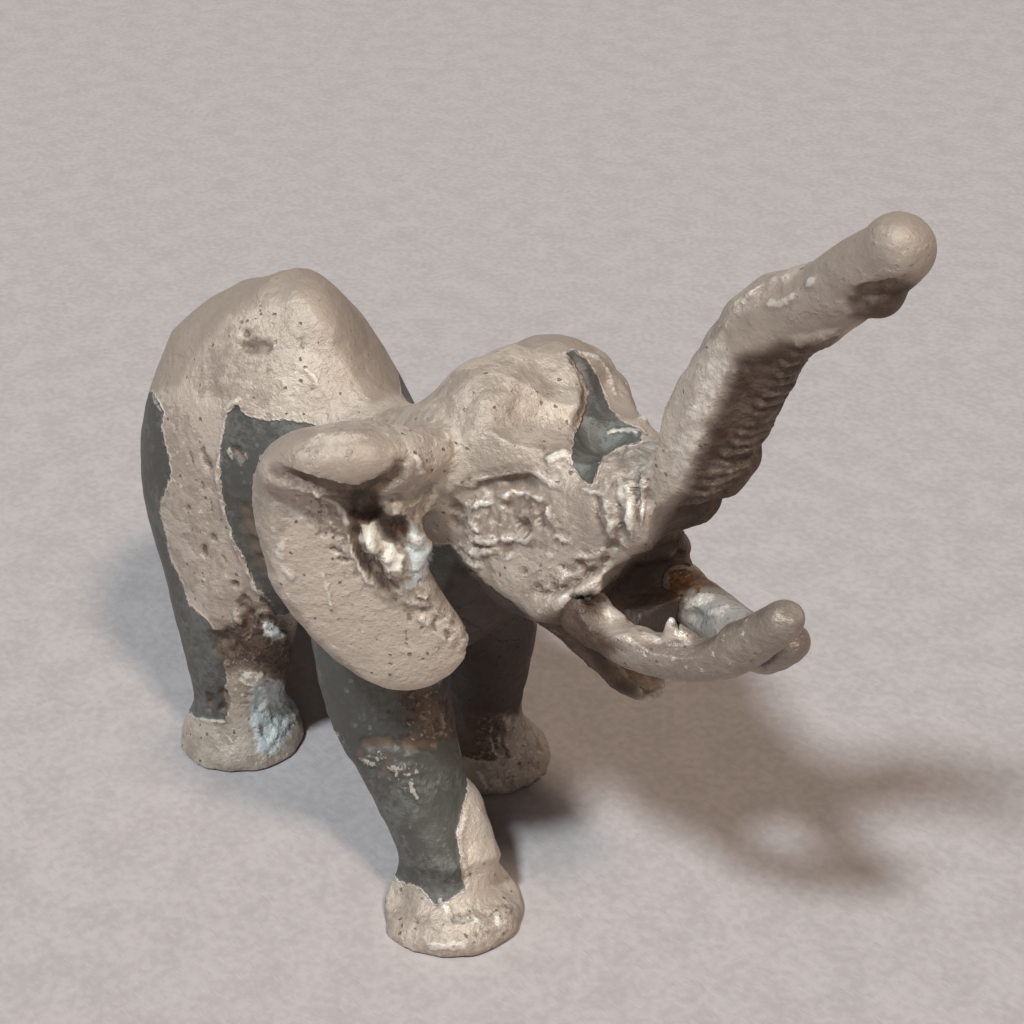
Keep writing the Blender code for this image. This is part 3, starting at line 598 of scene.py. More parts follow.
patches = [
    area("slate", "body rear_right_leg", "90,380 152,393 158,402 163,412 160,425 168,460 169,478 162,500 "
        "160,512 165,530 170,560 178,575 184,590 188,605 208,622 220,640 225,660 226,680 223,692 226,706 "
        "226,722 212,720 195,717 180,700 90,700", both=True, beyond=6),
    area("slate", "body", "237,403 245,415 258,420 292,421 340,430 345,640 300,640 285,625 262,600 "
        "252,578 245,560 235,540 225,510 221,480 220,450 228,415", both=True),
    area("slate", "body front_right_leg", "280,640 312,590 400,600 440,690 455,735 466,770 468,792 "
        "462,808 456,833 460,860 465,888 450,899 436,906 422,888 400,880 340,820 340,762 340,745 305,735 "
        "290,690"),
    area("slate", "head trunk", "566,352 576,350 588,362 597,376 603,392 611,410 626,424 643,431 640,441 "
        "618,447 604,456 597,470 592,484 582,480 574,466 572,455 577,430 586,410 589,392 580,372",
        beyond=5),
    area("slate", "head body", "430,545 450,545 490,588 520,610 532,640 500,640 475,625 440,610 425,600"),
    # painted shade on the trunk's dark front and under its tip
    area("umber", "trunk head", "802,342 780,343 762,350 745,352 735,362 725,395 712,420 705,440 695,460 "
        "690,480 678,500 668,515 655,535 650,560 700,560 800,480 850,342"),
    area("umber", "trunk", "849,296 870,296 905,280 930,285 925,320 870,328 852,316"),
    # painted shade in the mouth and under the cheek
    area("umber", "head", "586,608 602,590 618,572 632,558 646,546 656,532 730,575 700,650 615,650",
        beyond=8),
    area("pitch", "head", "596,610 612,590 628,572 644,560 660,550 672,564 676,600 690,640 620,640",
        beyond=8),
    area("pitch", "head", "572,594 594,589 600,604 584,610 572,604"),
    # painted shade in the hole at the ear's root
    area("pitch", "right_ear head body",
        "352,490 380,490 378,503 388,516 402,520 408,532 402,544 384,540 376,522 364,520 354,506"),
    area("bronze", "right_ear", "262,445 300,428 330,442 395,436 402,460 380,482 340,488 300,480 270,470"),
    # painted shade in the gap under the head
    area("pitch", "head body front_left_leg",
        "455,560 480,578 520,606 540,625 535,650 520,715 440,712 440,600"),
    area("flaky", "head",
        "458,500 480,488 520,486 548,494 558,515 573,535 560,552 520,552 492,560 480,573 462,562 455,535",
        both=True),
    area("flaky", "head", "520,592 545,575 590,552 618,538 623,552 600,572 570,590 535,603", both=True),
    area("flaky", "head trunk", "600,455 640,440 648,460 648,520 632,548 612,545 600,520 590,492",
        both=True),
    area("flaky", "head", "536,455 572,446 577,470 546,474"),
    area("flaky", "right_ear", "396,588 430,594 470,628 474,658 455,655 440,634 425,622 400,612"),
    area("flaky", "right_ear", "292,488 345,508 352,558 372,592 345,580 322,545 300,520"),
    area("flaky", "body rear_right_leg",
        "225,625 245,596 268,606 296,640 302,690 280,690 250,668 222,668"),
    area("flaky", "rear_right_leg", "236,672 262,670 290,690 300,710 292,735 270,757 250,745 244,700"),
    area("flaky", "front_right_leg", "455,905 510,900 516,925 480,940 445,932"),
    area("flaky", "front_right_leg",
        "353,746 380,750 400,756 422,764 426,780 410,794 390,786 370,772 356,764"),
    area("flaky", "front_left_leg", "478,715 520,715 548,745 542,792 490,792 470,760"),
    area("flaky", "right_ear head body", "360,496 405,496 425,520 428,590 395,592 362,556"),
    area("flaky", "body front_right_leg", "395,690 450,688 454,738 405,742"),
    area("bronze", "head",
        "520,325 570,330 610,345 640,385 650,430 640,432 612,412 600,380 580,354 540,350 518,345",
        beyond=5),
    area("bronze", "head",
        "456,496 468,486 500,480 540,482 554,498 556,520 545,536 505,534 474,530 460,545 452,520",
        both=True),
    area("bronze", "body", "140,350 170,300 215,270 285,255 340,270 380,320 410,385 372,405 350,370 "
        "326,325 304,300 262,306 228,316 200,345 180,385 150,392"),
    area("bronze", "trunk",
        "728,352 745,325 775,302 812,285 830,255 850,215 905,190 955,220 945,285 905,330 860,342 800,348",
        both=True, beyond=4),
    # painted light on the ear, which turns away from the lamps
    area("pale", "right_ear",
        "270,560 290,520 320,510 340,560 390,610 440,615 475,640 470,680 430,695 380,690 330,650 290,600"),
    # painted shade in a hole at the ear's root and under the cheek
    area("pitch", "head body right_ear", "380,515 400,515 408,522 404,540 388,538"),
    area("umber", "head body", "536,622 560,611 590,596 606,612 600,660 545,660"),
    # painted shade in the crease under the ear's fold
    area("umber", "right_ear", "272,470 300,480 330,488 360,488 398,468 402,478 380,490 380,515 362,522 "
        "360,545 370,560 386,580 402,596 392,600 372,580 356,558 352,530 344,502 320,494 292,486"),
    # painted shade between the legs and under the ear
    area("umber", "rear_right_leg body", "220,632 232,622 240,612 250,600 262,606 270,622 290,640 300,660 "
        "292,690 276,678 262,668 240,668 226,672 218,655"),
    area("umber", "body front_right_leg",
        "392,655 430,690 478,655 470,700 462,752 452,742 425,738 408,722 398,700"),
    area("umber", "rear_right_leg body", "262,600 285,620 300,650 300,720 284,690 270,665 262,640"),
    area("cream", "right_ear head body", "362,525 375,523 382,535 381,550 372,556 362,550 359,538"),
    area("pale", "right_ear head body", "378,494 392,492 402,502 407,514 400,511 388,518 378,512"),
    # painted highlight along the trunk's back
    area("pale", "trunk",
        "640,460 658,508 676,494 692,462 704,430 716,395 738,348 728,322 690,365 665,410"),
    # painted light on the side of the shin that faces the warm lamp
    area("pale", "front_right_leg", "463,775 478,785 504,840 512,892 465,887 458,850 456,833 464,805"),
    area("cream", "right_ear head body", "383,541 394,543 403,558 402,573 394,577 386,566 378,557"),
    # painted shade in a hollow of the rear leg
    area("pitch", "rear_right_leg body", "216,632 228,626 240,632 242,645 230,654 218,650"),
    area("cream", "rear_right_leg", "239,680 244,672 262,672 264,684 252,688"),
    area("ice", "right_ear head body", "412,522 420,530 433,552 427,578 418,590 402,590 408,575 407,545"),
    area("ice", "rear_right_leg", "250,690 262,680 284,682 299,705 292,732 274,756 256,750 250,720"),
    area("ice", "rear_right_leg body", "262,620 272,622 286,636 278,640 264,634"),
    area("rust", "head", "676,600 684,574 697,568 722,580 718,594 700,600 690,598"),
]


def nearestPieces(skin):
    # the CAD piece that each point of the skin belongs to
    best = np.full(len(skin.places), 1.0)
    pieceOf = np.zeros(len(best), int)
    margin, searched = castValues["nearPiece"] * mm, castValues["searchReach"] * mm
    for number, name in enumerate(pieceNames):
        low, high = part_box(name)
        near = np.all((skin.places > np.array(low) - margin) & (skin.places < np.array(high) + margin), 1)
        source = bmesh.new()
        source.from_mesh(mergedCopy(name))
        tree = BVHTree.FromBMesh(source)
        source.free()
        for index in np.flatnonzero(near).tolist():
            found = tree.find_nearest(skin.places[index].tolist(), searched)
            if found[0] is not None and found[3] < best[index]:
                best[index] = found[3]
                pieceOf[index] = number
    votes = relaxed(np.eye(len(pieceNames))[pieceOf], skin.edges, castValues["voteRounds"])
    return votes.argmax(1)


# folds across the trunk: pixels along its front and its back, and each fold's own from there
trunkFolds = {
    "count": 17, "start": (664, 505), "span": (118, -160), "bend": 0.8,
    "ridge": "8,-2 30,-6 60,-16", "groove": "12,3 34,0 62,-10",
    "back": "677,424 681,404 689,382 697,362 705,343 714,326 726,310 740,297 758,286 778,277 800,270",
    "backRidge": "2,3 12,-2 22,-9",
}


def foldStroke(x, y, offsets, radius, height, **more):
    return {"pixels": [(x + right, y + down) for right, down in pixelPath(offsets)], "radius": radius,
            "height": height, **more}


def addTrunkRibs(skin, pieceOf):
    values = trunkFolds
    onTrunk = pieceOf == pieceNames.index("trunk")
    folds = []
    for step in range(values["count"]):
        share = step / (values["count"] - 1)
        x = values["start"][0] + values["span"][0] * share ** values["bend"]
        y = values["start"][1] + values["span"][1] * share
        # ridges carry painted highlights and grooves carry painted shade
        folds.append(foldStroke(x, y, values["ridge"], 0.4, 0.27, ragged=0.6, smooth=True, paint=0.5))
        folds.append(foldStroke(x, y, values["groove"], 0.34, -0.2, ragged=0.6, paint=0.8))
    carve(skin, folds, onTrunk)
    # fine slanting ribs along the back, two to each pair of its pixels
    back = pixelPath(values["back"])
    back = [(x + (nextX - x) * half / 2, y + (nextY - y) * half / 2)
            for (x, y), (nextX, nextY) in zip(back, back[1:]) for half in (0, 1)]
    carve(skin, [foldStroke(x, y, values["backRidge"], 0.27, 0.16, smooth=True, paint=0.45)
                 for x, y in back], onTrunk)


# a thin upper layer with torn edges that stands on a lower one; the torn edges get painted highlights and the
# lower layer gets painted shade
flaking = {
    "size": 0.85, "height": 0.1, "seed": 4, "octaves": ((1, 1), (2.1, 0.6), (4, 0.4)),
    "edge": 0.16, "tornAt": 0.12, "tornWidth": 0.1, "lit": 0.8, "shadeOver": 0.3, "shade": 0.6,
}


def flakeOff(skin, values):
    weight = np.clip(skin.deep.pop("flaky") / 0.5 + 0.5, 0, 1)
    layer = np.zeros(len(weight))
    chosen = weight > 0
    places = skin.places[chosen]
    layer[chosen] = sum(noiseAt(places, values["size"] / finer, values["seed"] + number) * share
                        for number, (finer, share) in enumerate(values["octaves"]))
    upper = np.clip(layer / values["edge"] + 0.5, 0, 1)
    skin.places += skin.normals * (weight * (upper - 0.5) * values["height"] * mm)[:, None]
    torn = np.exp(-((layer - values["tornAt"]) / values["tornWidth"]) ** 2)
    skin.lit = np.maximum(skin.lit, weight * torn * values["lit"])
    sunk = np.clip(-layer / values["shadeOver"], 0, 1)
    skin.shade = np.maximum(skin.shade, weight * sunk * values["shade"])


def buildCast():
    mesh = fusedMesh(pieceNames, castValues["cell"] * mm, castValues["swell"] * mm)
    skin = makeSkin(mesh)
    evened(skin, castValues["evenRounds"])
    refresh(skin, False)
    skin.places -= skin.normals * castValues["swell"] * mm
    refresh(skin)
    print("cast skin", len(skin.places), "points")
    pieceOf = nearestPieces(skin)
    print("pieces", np.bincount(pieceOf).tolist())
    carve(skin, formStrokes)
    refresh(skin)
    for strokeList in (headStrokes, earStrokes, trunkStrokes, bodyStrokes, legStrokes):
        carve(skin, strokeList)
        refresh(skin, False)
    addTrunkRibs(skin, pieceOf)
    refresh(skin, False)
    for size, height, seed in castValues["lumps"]:
        roughen(skin, size, height, seed)
    skin.deep = patchDepths(skin, patches, pieceOf)
    flakeOff(skin, flaking)
    skin.places[:, 2] = np.maximum(skin.places[:, 2], 0)
    refresh(skin)
    return skin, pieceOf


def storeValues(mesh, name, values):
    made = mesh.attributes.new(name, "FLOAT", "POINT")
    made.data.foreach_set("value", values.astype(np.float32))


# rounds of smoothing that wear and hollows are measured against, and their limits in tenths of a mm
wearValues = {"wear": (10, 3), "hollow": (90, 9)}


def storeSkin(skin, deep):
    # what the material reads
    mesh = skin.mesh
    outside = patchValues["outside"]
    for name in finishNames:
        values = deep.get(name, np.full(len(skin.places), outside))
        storeValues(mesh, name, np.clip(values, outside, -outside))
    for name, (rounds, limit) in wearValues.items():
        raised = ((skin.places - relaxed(skin.places, skin.edges, rounds)) * skin.normals).sum(1) / mm
        storeValues(mesh, name, np.clip(raised * 10, -limit, limit))
    storeValues(mesh, "lit", skin.lit)
    storeValues(mesh, "shade", skin.shade)


# painted shade: dark umber under the belly, between the legs and over the far legs, where shade falls,
# heights in mm
underShadeValues = {
    "downwards": 0.45, "inwards": {"near": 1.2, "far": 0.35}, "slope": 3, "aboveFeet": 2.5,
    "farFootTop": 6.5, "farLeg": 1.0, "farFoot": -0.25,
}


def addPaintedUnderShade(skin, pieceOf):
    values, outside = underShadeValues, patchValues["outside"]
    down = -skin.normals[:, 2]
    side = (skin.places[:, 1] - midplane) / mm
    inward = -np.sign(side) * skin.normals[:, 1]
    legs = np.isin(pieceOf, [pieceNames.index(name) for name in pieceNames if name.endswith("leg")])
    low = skin.places[:, 2] / mm
    onBody = pieceOf == pieceNames.index("body")
    # surfaces facing down, surfaces facing the other legs, and the far legs all get painted shade
    under = np.where(onBody | legs, (down - values["downwards"]) * values["slope"], outside)
    least = np.where(side < 0, values["inwards"]["near"], values["inwards"]["far"])
    between = np.where(legs & (low > values["aboveFeet"]), (inward - least) * values["slope"], outside)
    farLegs = np.isin(pieceOf, [pieceNames.index("front_left_leg"), pieceNames.index("rear_left_leg")])
    farTone = np.where(low > values["farFootTop"], values["farLeg"], values["farFoot"])
    under = np.maximum(np.maximum(under, between), np.where(farLegs, farTone, outside))
    skin.deep["umber"] = np.maximum(skin.deep["umber"], under)


def partSkin(skin, pieceOf):
    # the skin is cut along the castings' seams and every cut is closed
    mesh = skin.mesh
    corners = readArray(mesh.polygons, "vertices", 4, int)
    faceOf = np.sort(pieceOf[corners], 1)[:, 1]
    made = {}
    for number, name in enumerate(pieceNames):
        piece = bmesh.new()
        piece.from_mesh(mesh)
        piece.faces.ensure_lookup_table()
        others = [piece.faces[index] for index in np.flatnonzero(faceOf != number).tolist()]
        bmesh.ops.delete(piece, geom=others, context="FACES")
        rim = [edge for edge in piece.edges if edge.is_boundary]
        caps = bmesh.ops.holes_fill(piece, edges=rim, sides=0)["faces"]
        for edge in rim:
            edge.smooth = False
        bmesh.ops.poke(piece, faces=caps)
        for face in piece.faces:
            face.smooth = True
        open_ = sum(1 for edge in piece.edges if not edge.is_manifold)
        made[name] = bpy.data.meshes.new("cast_" + name)
        piece.to_mesh(made[name])
        print("piece", name, len(piece.faces), "faces,", len(caps), "caps,", open_, "open edges")
        piece.free()
    return made


# shader maths
class Wire:
    def __init__(self, tree, socket):
        self.tree = tree
        self.socket = socket

    def math(self, operation, *values):
        return addNode(self.tree, "ShaderNodeMath", {"operation": operation}, dict(enumerate(values)))

    def __add__(self, other):
        return self.math("ADD", self, other)

    def __sub__(self, other):
        return self.math("SUBTRACT", self, other)

    def __rsub__(self, other):
        return self.math("SUBTRACT", other, self)

    def __mul__(self, other):
        return self.math("MULTIPLY", self, other)

    __radd__ = __add__
    __rmul__ = __mul__


def addNode(tree, kind, settings, values, output=0):
    node = tree.nodes.new(kind)
    for key, value in settings.items():
        setattr(node, key, value)
    for key, value in values.items():
        if isinstance(value, Wire):
            tree.links.new(value.socket, node.inputs[key])
        else:
            node.inputs[key].default_value = value
    return Wire(tree, node.outputs[output])


def feed(wire, node, key):
    wire.tree.links.new(wire.socket, node.inputs[key])


def newMaterial(name):
    made = bpy.data.materials.new(name)
    made.use_nodes = True
    return made, made.node_tree, made.node_tree.nodes["Principled BSDF"]


def attribute(tree, name):
    return addNode(tree, "ShaderNodeAttribute", {"attribute_name": name}, {}, 2)


def grain(tree, place, size, detail=2, roughness=0.5):
    # noise with features of about the given size in mm
    return addNode(tree, "ShaderNodeTexNoise", {},
                   {"Vector": place, "Scale": 1 / (size * mm), "Detail": detail, "Roughness": roughness})


def cells(tree, place, size, distance):
    return addNode(tree, "ShaderNodeTexVoronoi", {"distance": distance},
                   {"Vector": place, "Scale": 1 / (size * mm)})


def ease(value, low, high):
    return addNode(value.tree, "ShaderNodeMapRange", {"interpolation_type": "SMOOTHSTEP"},
                   {0: value, 1: low, 2: high, 3: 0, 4: 1})


def blendColours(factor, first, second):
    return addNode(factor.tree, "ShaderNodeMix", {"data_type": "RGBA", "clamp_factor": True},
                   {0: factor, 6: first, 7: second}, 2)


def addBump(relief, shader, strength, reach):
    values = {"Strength": strength, "Distance": reach * mm, "Height": relief}
    feed(addNode(relief.tree, "ShaderNodeBump", {}, values), shader, "Normal")


def colour(red, green, blue):
    return (red, green, blue, 1)


castFinish = {
    "taupe": colour(0.37, 0.30, 0.245),
    "sand": colour(0.525, 0.445, 0.37),
    "dirtAndShade": colour(0.12, 0.078, 0.055),
    "paintedShade": colour(0.17, 0.12, 0.09),
    "bright": colour(0.90, 0.83, 0.74),
    "slate": colour(0.088, 0.084, 0.074),
    "slateGreen": colour(0.15, 0.152, 0.138),
    "umber": colour(0.075, 0.047, 0.032),
    "umberPale": colour(0.135, 0.092, 0.068),
    "pitch": colour(0.048, 0.032, 0.024),
    "bronze": colour(0.36, 0.29, 0.235),
    "pale": colour(0.63, 0.535, 0.445),
    "cream": colour(0.78, 0.71, 0.61),
    "ice": colour(0.62, 0.66, 0.65),
    "rust": colour(0.23, 0.115, 0.05),
    "metallic": 0.28, "roughness": 0.56, "bump": 0.9, "bumpReach": 0.2,
    # sizes of the noises and cells in mm
    "broad": 4.5, "middle": 1.4, "fine": 0.45, "dust": 0.16, "worn": 3.2, "pitCell": 0.8, "fleckCell": 0.75,
}


def castMaterial(name, finish):
    made, tree, shader = newMaterial(name)
    place = addNode(tree, "ShaderNodeTexCoord", {}, {}, 3)
    wear, hollow = attribute(tree, "wear"), attribute(tree, "hollow")
    broad, middle = grain(tree, place, finish["broad"], 3), grain(tree, place, finish["middle"], 4, 0.6)
    fine, dust = grain(tree, place, finish["fine"], 3, 0.6), grain(tree, place, finish["dust"], 2, 0.6)
    ragged = (middle - 0.5) * 0.45 + (fine - 0.5) * 0.5

    def patch(key, soft=0.07):
        return ease(attribute(tree, key) + ragged, -soft, soft)

    # bare metal: a mottled skin with a few flaked patches, pits and grit
    flakes = ease(broad + (middle - 0.5) * 0.35 + (fine - 0.5) * 0.08, 0.55, 0.58)
    mottle = (broad - 0.5) * 1.1 + (middle - 0.5) * 1.5 + (fine - 0.5) * 1.0 + 0.55
    base = blendColours(ease(mottle + flakes * 0.3, 0.22, 0.9), finish["taupe"], finish["sand"])
    # the pale patches are painted light where the ear, the trunk's back and the shin should catch more light
    base = blendColours(patch("pale", 0.2) * 0.75, base, finish["pale"])
    worn = ease(grain(tree, place, finish["worn"], 2, 0.6), 0.38, 0.6)
    dots = cells(tree, place, finish["pitCell"], "EUCLIDEAN")
    chips = cells(tree, place, finish["fleckCell"], "CHEBYCHEV")
    pits = ease(worn * 0.03 + fine * 0.15 + dust * 0.4 - 0.125 - dots, 0, 0.06)
    pits = pits * ease(middle + broad * 0.5, 0.68, 0.8)
    specks = ease(dust + (fine - 0.5) * 0.5, 0.6, 0.74)
    flecks = ease(fine * 0.35 + 0.02 - chips, 0, 0.05) * ease(middle - broad * 0.5, 0.25, 0.36)
    base = blendColours(pits * 0.75 + specks * 0.2, base, finish["dirtAndShade"])
    base = blendColours(flecks * 0.35, base, finish["bright"])
    bronze = patch("bronze", 0.35)
    base = blendColours(bronze * 0.9, base, blendColours(middle, finish["bronze"], finish["taupe"]))

    # remains of paint and patina, and a pale rim round the slate paint; the umber is partly painted shade,
    # and the pitch is painted shade in the mouth, in the ear's holes and in the gaps under the head
    slate, umber = patch("slate"), patch("umber", 0.6)
    cream, ice, rust, pitch = patch("cream"), patch("ice", 0.2), patch("rust"), patch("pitch", 0.3)
    slateTone = blendColours(ease(broad + (fine - 0.5) * 0.7 + (middle - 0.5) * 0.5, 0.45, 0.75),
                             finish["slate"], finish["slateGreen"])
    slateTone = blendColours(flecks * 0.1, slateTone, finish["ice"])
    paler = ease(middle + (fine - 0.5) * 0.5, 0.35, 0.7)
    umberTone = blendColours(paler, finish["umber"], finish["umberPale"])
    lit, shade = attribute(tree, "lit"), attribute(tree, "shade")
    # painted highlights lighten the umber on raised strokes, such as the trunk's folds
    umberTone = blendColours(ease(lit + (fine - 0.5) * 0.6, 0.2, 0.8) * 0.4, umberTone, finish["taupe"])
    rim = ease(attribute(tree, "slate") + ragged, -0.2, -0.06) - slate
    base = blendColours(rim * ease(fine + middle, 0.85, 1.0) * 0.4, base, finish["bright"])
    base = blendColours(slate, base, slateTone)
    base = blendColours(umber, base, umberTone)
    base = blendColours(rust, base, blendColours(ease(fine, 0.4, 0.65), finish["rust"], finish["umber"]))
    base = blendColours(cream, base, blendColours(specks * 0.5, finish["cream"], finish["taupe"]))
    crusted = ice * ease(middle + fine + attribute(tree, "ice") * 0.25, 0.85, 1.0)
    base = blendColours(crusted, base, finish["ice"])
    base = blendColours(pitch, base, finish["pitch"])

    # dirt and painted shade in the hollows, painted shade in grooves and dents, painted highlights on raised
    # strokes and torn flake edges, and bare metal on the ridges
    sunk = ease(hollow * -1 + (fine - 0.5) * 3 + (middle - 0.5) * 2, 1.0, 5.5)
    base = blendColours(sunk * (1 - slate * 0.6) * (1 - (cream + ice) * 0.7) * 0.7, base, finish["dirtAndShade"])
    # painted shade in grooves, in dents and on the lower layer of the flakes
    paintedShade = ease(shade + (fine - 0.5) * 0.9 + (dust - 0.5) * 0.3, 0.3, 0.75)
    base = blendColours(paintedShade * (1 - (cream + ice) * 0.8) * 0.7, base, finish["paintedShade"])
    shine = ease(lit + (fine - 0.5) * 1.6 + (dust - 0.5) * 0.8, 0.42, 0.8)
    base = blendColours(shine * (1 - umber * 0.85) * (1 - pitch) * 0.42, base, finish["bright"])
    rubbed = ease(wear + (fine - 0.5) * 1.2 + (middle - 0.5) * 0.8, 0.5, 1.9)
    base = blendColours(rubbed * (1 - umber) * (1 - slate * 0.85) * (1 - pitch) * 0.7, base, finish["bright"])
    feed(base, shader, "Base Color")
    dull = umber * 0.1 + (middle - 0.5) * 0.3 + (fine - 0.5) * 0.3 + pits * 0.2 - rubbed * 0.15
    feed(dull + finish["roughness"], shader, "Roughness")
    feed((1 - (cream + ice + pitch) * 0.8) * finish["metallic"], shader, "Metallic")
    rough = 1 - slate * 0.6 - bronze * 0.6
    relief = (middle - 0.5) * 0.7 + ((fine - 0.5) * 0.7 + dust * 0.16 - pits * 0.5 + flecks * 0.15) * rough
    relief = relief + flakes * 0.12 - slate * 0.45 + rim * 0.2
    addBump(relief, shader, finish["bump"], finish["bumpReach"])
    return made


# tusks and jaw, sculpted from their own solids
smallValues = {
    "cell": 0.16, "evenRounds": 14, "lump": (0.8, 0.04, 5),
    # a root fills its seat in the head, as a cast one does
    "fill": 0.28, "fillFrom": 1.3, "fillOver": 0.9,
}
rightTuskStrokes = [
    *cut(1.9, 0, "612,608 630,611 648,617 668,625 690,628 712,624 734,617", push=(0, 0, -0.85), blunt=True,
        ragged=0),
    *cut(0.8, 0.25, "604,616 616,614 626,620"),
    *cut(0.5, 0.25, "640,634 652,638 662,641"),
    # a broken flap on the upper edge
    *cut(0.55, 0, "671,640", push=(-0.1, 0, 1.5), ragged=0),
    *cut(0.55, 0, "678,641", push=(0, 0, 0.8), ragged=0),
    *cut(0.5, 0, "686,641", push=(0, 0, 0.4), ragged=0),
]
leftTuskStrokes = [
    *cut(0.7, 0.4, "680,605 700,600 715,596"),
    *cut(0.6, 0.35, "705,615 720,612 732,606"),
    *cut(0.6, -0.35, "690,612 702,622"),
]
jawStrokes = [
    *cut(1.0, -0.4, "640,684 655,684 664,682"),
    *cut(1.7, 0, "556,640 575,655 592,667", push=(0, 0, 0.9), blunt=True, ragged=0),
    *cut(0.6, 0.4, "575,630 584,634"),
    *cut(0.35, 0.2, "548,628 562,634"),
    *cut(0.4, 0.25, "598,644 612,660 626,676 640,690", paint=0.5),
]
smallPatches = [
    area("bronze", "lower_jaw", "500,590 640,590 720,700 640,720 500,660"),
    area("rust", "left_tusk", "668,570 716,570 724,588 702,601 684,604 670,598"),
    area("pale", "right_tusk", "594,604 622,594 648,616 672,628 700,634 660,644 625,642 604,636 592,622"),
    # painted shade on the near tusk's root
    area("umber", "right_tusk", "520,560 608,586 604,606 600,618 606,632 620,648 600,664 520,640"),
    area("ice", "left_tusk", "668,596 700,586 735,590 748,612 735,640 700,640 676,620"),
    area("pitch", "left_tusk", "752,662 765,650 778,645 776,660 765,668"),
    # painted shade on the jaw, under the head
    area("umber", "lower_jaw", "520,590 600,596 626,636 650,664 636,700 600,695 560,665 525,640"),
    area("umber", "lower_jaw", "600,640 630,645 668,676 660,688 644,690 622,668"),
]


def buildSmall(nodeName, number, strokeList):
    values = smallValues
    mesh = fusedMesh([nodeName], values["cell"] * mm, 0)
    skin = makeSkin(mesh)
    evened(skin, values["evenRounds"])
    refresh(skin)
    gaps = np.array([castSkin.tree.find_nearest(place)[3] for place in skin.places.tolist()]) / mm
    share = np.clip(values["fillFrom"] - gaps, 0, values["fillOver"]) / values["fillOver"]
    skin.places += skin.normals * (share * values["fill"] * mm)[:, None]
    refresh(skin)
    carve(skin, [stroke for stroke in strokeList if stroke.get("blunt")])
    refresh(skin)
    carve(skin, [stroke for stroke in strokeList if not stroke.get("blunt")])
    refresh(skin, False)
    size, height, seed = values["lump"]
    roughen(skin, size, height, seed + number)
    refresh(skin, False)
    storeSkin(skin, patchDepths(skin, [patch for patch in smallPatches if nodeName in patch["on"]]))
    mesh.shade_smooth()
    print("piece", nodeName, len(mesh.polygons), "faces")
    return mesh


def finishPiece(nodeName, mesh, material):
    mesh.materials.clear()
    mesh.materials.append(material)
    piece = addObject("cast_" + nodeName, mesh)
    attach(piece, "root")
    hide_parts(nodeName)


castSkin, castPieceOf = buildCast()
addPaintedUnderShade(castSkin, castPieceOf)
storeSkin(castSkin, castSkin.deep)
castMeshes = partSkin(castSkin, castPieceOf)
wornMetal = castMaterial("worn_metal", castFinish)
tuskFinish = dict(castFinish, taupe=colour(0.25, 0.20, 0.165), sand=colour(0.33, 0.275, 0.23),
                  ice=colour(0.36, 0.33, 0.30), roughness=0.42)
tuskMetal = castMaterial("tusk_metal", tuskFinish)
for pieceName, pieceMesh in castMeshes.items():
    finishPiece(pieceName, pieceMesh, wornMetal)
smallPieces = (("right_tusk", rightTuskStrokes, tuskMetal), ("left_tusk", leftTuskStrokes, tuskMetal),
               ("lower_jaw", jawStrokes, wornMetal))
for number, (pieceName, strokeList, material) in enumerate(smallPieces):
    finishPiece(pieceName, buildSmall(pieceName, number, strokeList), material)


# floor and lights
floorValues = {
    "half": 1.5, "card": colour(0.55, 0.495, 0.483), "shade": colour(0.47, 0.42, 0.408),
    "light": colour(0.62, 0.565, 0.55), "dark": colour(0.42, 0.37, 0.36),
    "fibres": ((0.3, "light"), (1.7, "light"), (2.6, "dark"), (1.0, "dark")),
    "fibreSize": 1.5, "fibreTone": 0.2, "fibreRelief": 0.2, "roughness": 0.9, "bump": 0.2, "bumpReach": 0.2,
}


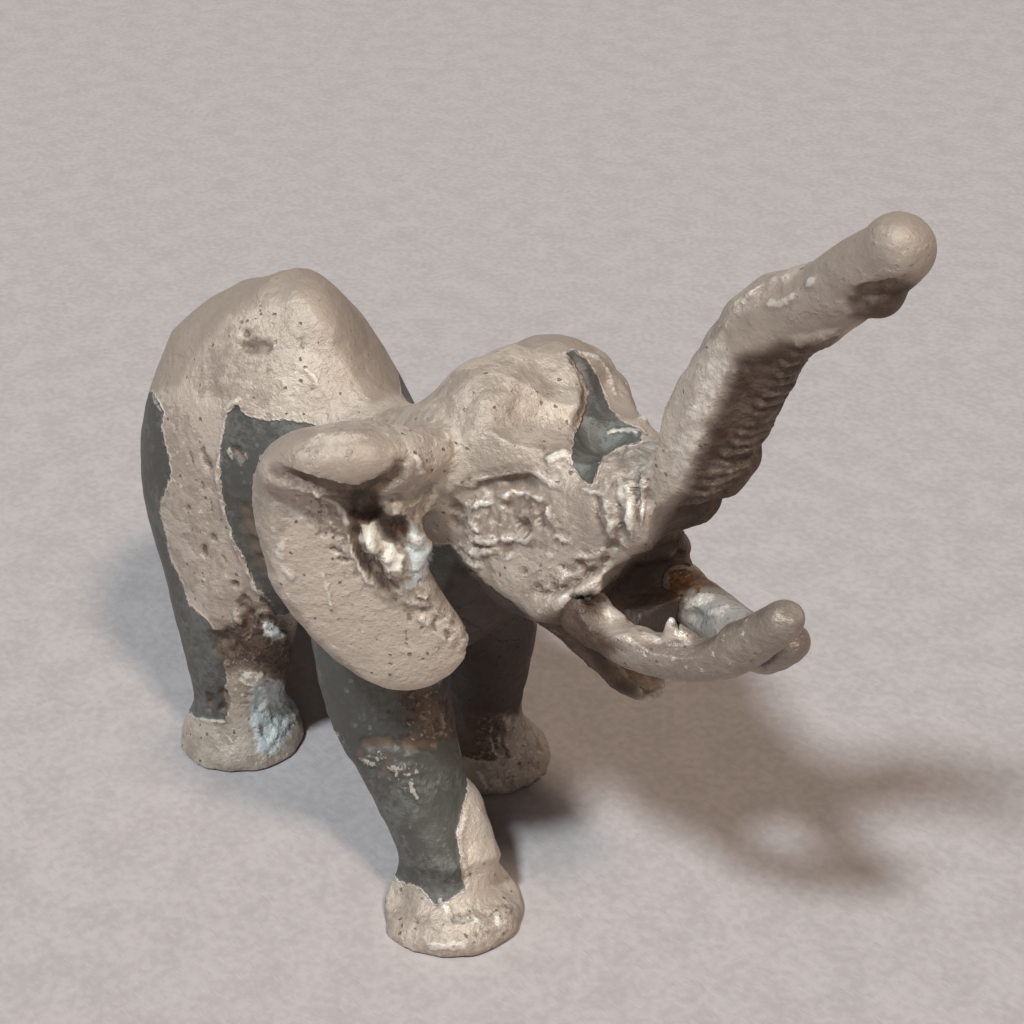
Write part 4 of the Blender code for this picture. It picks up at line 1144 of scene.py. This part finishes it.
def addFloor():
    plane = bmesh.new()
    bmesh.ops.create_grid(plane, x_segments=1, y_segments=1, size=floorValues["half"])
    mesh = bpy.data.meshes.new("card")
    plane.to_mesh(mesh)
    plane.free()
    floor = addObject("card", mesh)
    made, tree, shader = newMaterial("card")
    shader.inputs["Roughness"].default_value = floorValues["roughness"]
    place = addNode(tree, "ShaderNodeTexCoord", {}, {}, 3)
    mottle = grain(tree, place, 3.5, 3) * 0.45 + grain(tree, place, 0.7, 2) * 0.55
    tone = blendColours(ease(mottle, 0.35, 0.65), floorValues["shade"], floorValues["card"])
    relief = mottle
    for turn, kind in floorValues["fibres"]:
        along = addNode(tree, "ShaderNodeMapping", {},
                        {"Vector": place, "Rotation": (0, 0, turn), "Scale": (1, 3, 1)})
        fibre = ease(grain(tree, along, floorValues["fibreSize"], 2), 0.62, 0.72)
        tone = blendColours(fibre * floorValues["fibreTone"], tone, floorValues[kind])
        relief = relief + fibre * floorValues["fibreRelief"]
    feed(tone, shader, "Base Color")
    addBump(relief, shader, floorValues["bump"], floorValues["bumpReach"])
    mesh.materials.append(made)


lightValues = {
    "world": 0.02, "worldColour": colour(1.0, 1.0, 1.0), "backdrop": colour(0.533, 0.479, 0.462),
    "far": 3.5,  # metres
    # direction in the camera's right, away and up, the size in metres and the share of the light
    "cool": {"way": (-0.68, -0.95, 1.9), "colour": (0.82, 0.925, 0.99), "size": 0.45, "share": 0.7},
    "warm": {"way": (0.52, -0.85, 1.5), "colour": (1.0, 0.835, 0.69), "size": 0.5, "share": 0.37},
    "fill": {"way": (0.0, -1.0, 0.5), "colour": (1.0, 0.97, 0.94), "size": 1.2, "share": 0.02},
}


def addLights():
    far = lightValues["far"]
    right = cameraTurn @ Vector((1, 0, 0))
    away = Vector((-right.y, right.x, 0))
    for name in ("cool", "warm", "fill"):
        values = lightValues[name]
        lamp = bpy.data.lights.new(name, "AREA")
        lamp.shape = "DISK"
        lamp.size = values["size"]
        lamp.color = values["colour"]
        sideways, ahead, up = values["way"]
        way = (right * sideways + away * ahead + Vector((0, 0, up))).normalized()
        # a lamp of this power lights a level surface by its share
        lamp.energy = values["share"] * math.pi ** 2 * far ** 2 / way.z
        holder = bpy.data.objects.new(name, lamp)
        scene.collection.objects.link(holder)
        holder.location = way * far
        holder.rotation_euler = way.to_track_quat("Z", "Y").to_euler()
    world = bpy.data.worlds.new("studio")
    scene.world = world
    world.use_nodes = True
    tree = world.node_tree
    # rays that show the surroundings see the backdrop, all others a dim room
    rays = tree.nodes.new("ShaderNodeLightPath")
    seen, glossy, through = (Wire(tree, rays.outputs["Is %s Ray" % kind])
                             for kind in ("Camera", "Glossy", "Transmission"))
    shown = seen.math("MAXIMUM", seen.math("MAXIMUM", seen, glossy), through)
    background = tree.nodes["Background"]
    feed(blendColours(shown, lightValues["worldColour"], lightValues["backdrop"]), background, "Color")
    feed(shown * (1 - lightValues["world"]) + lightValues["world"], background, "Strength")


addFloor()
addLights()
print("stage ready")
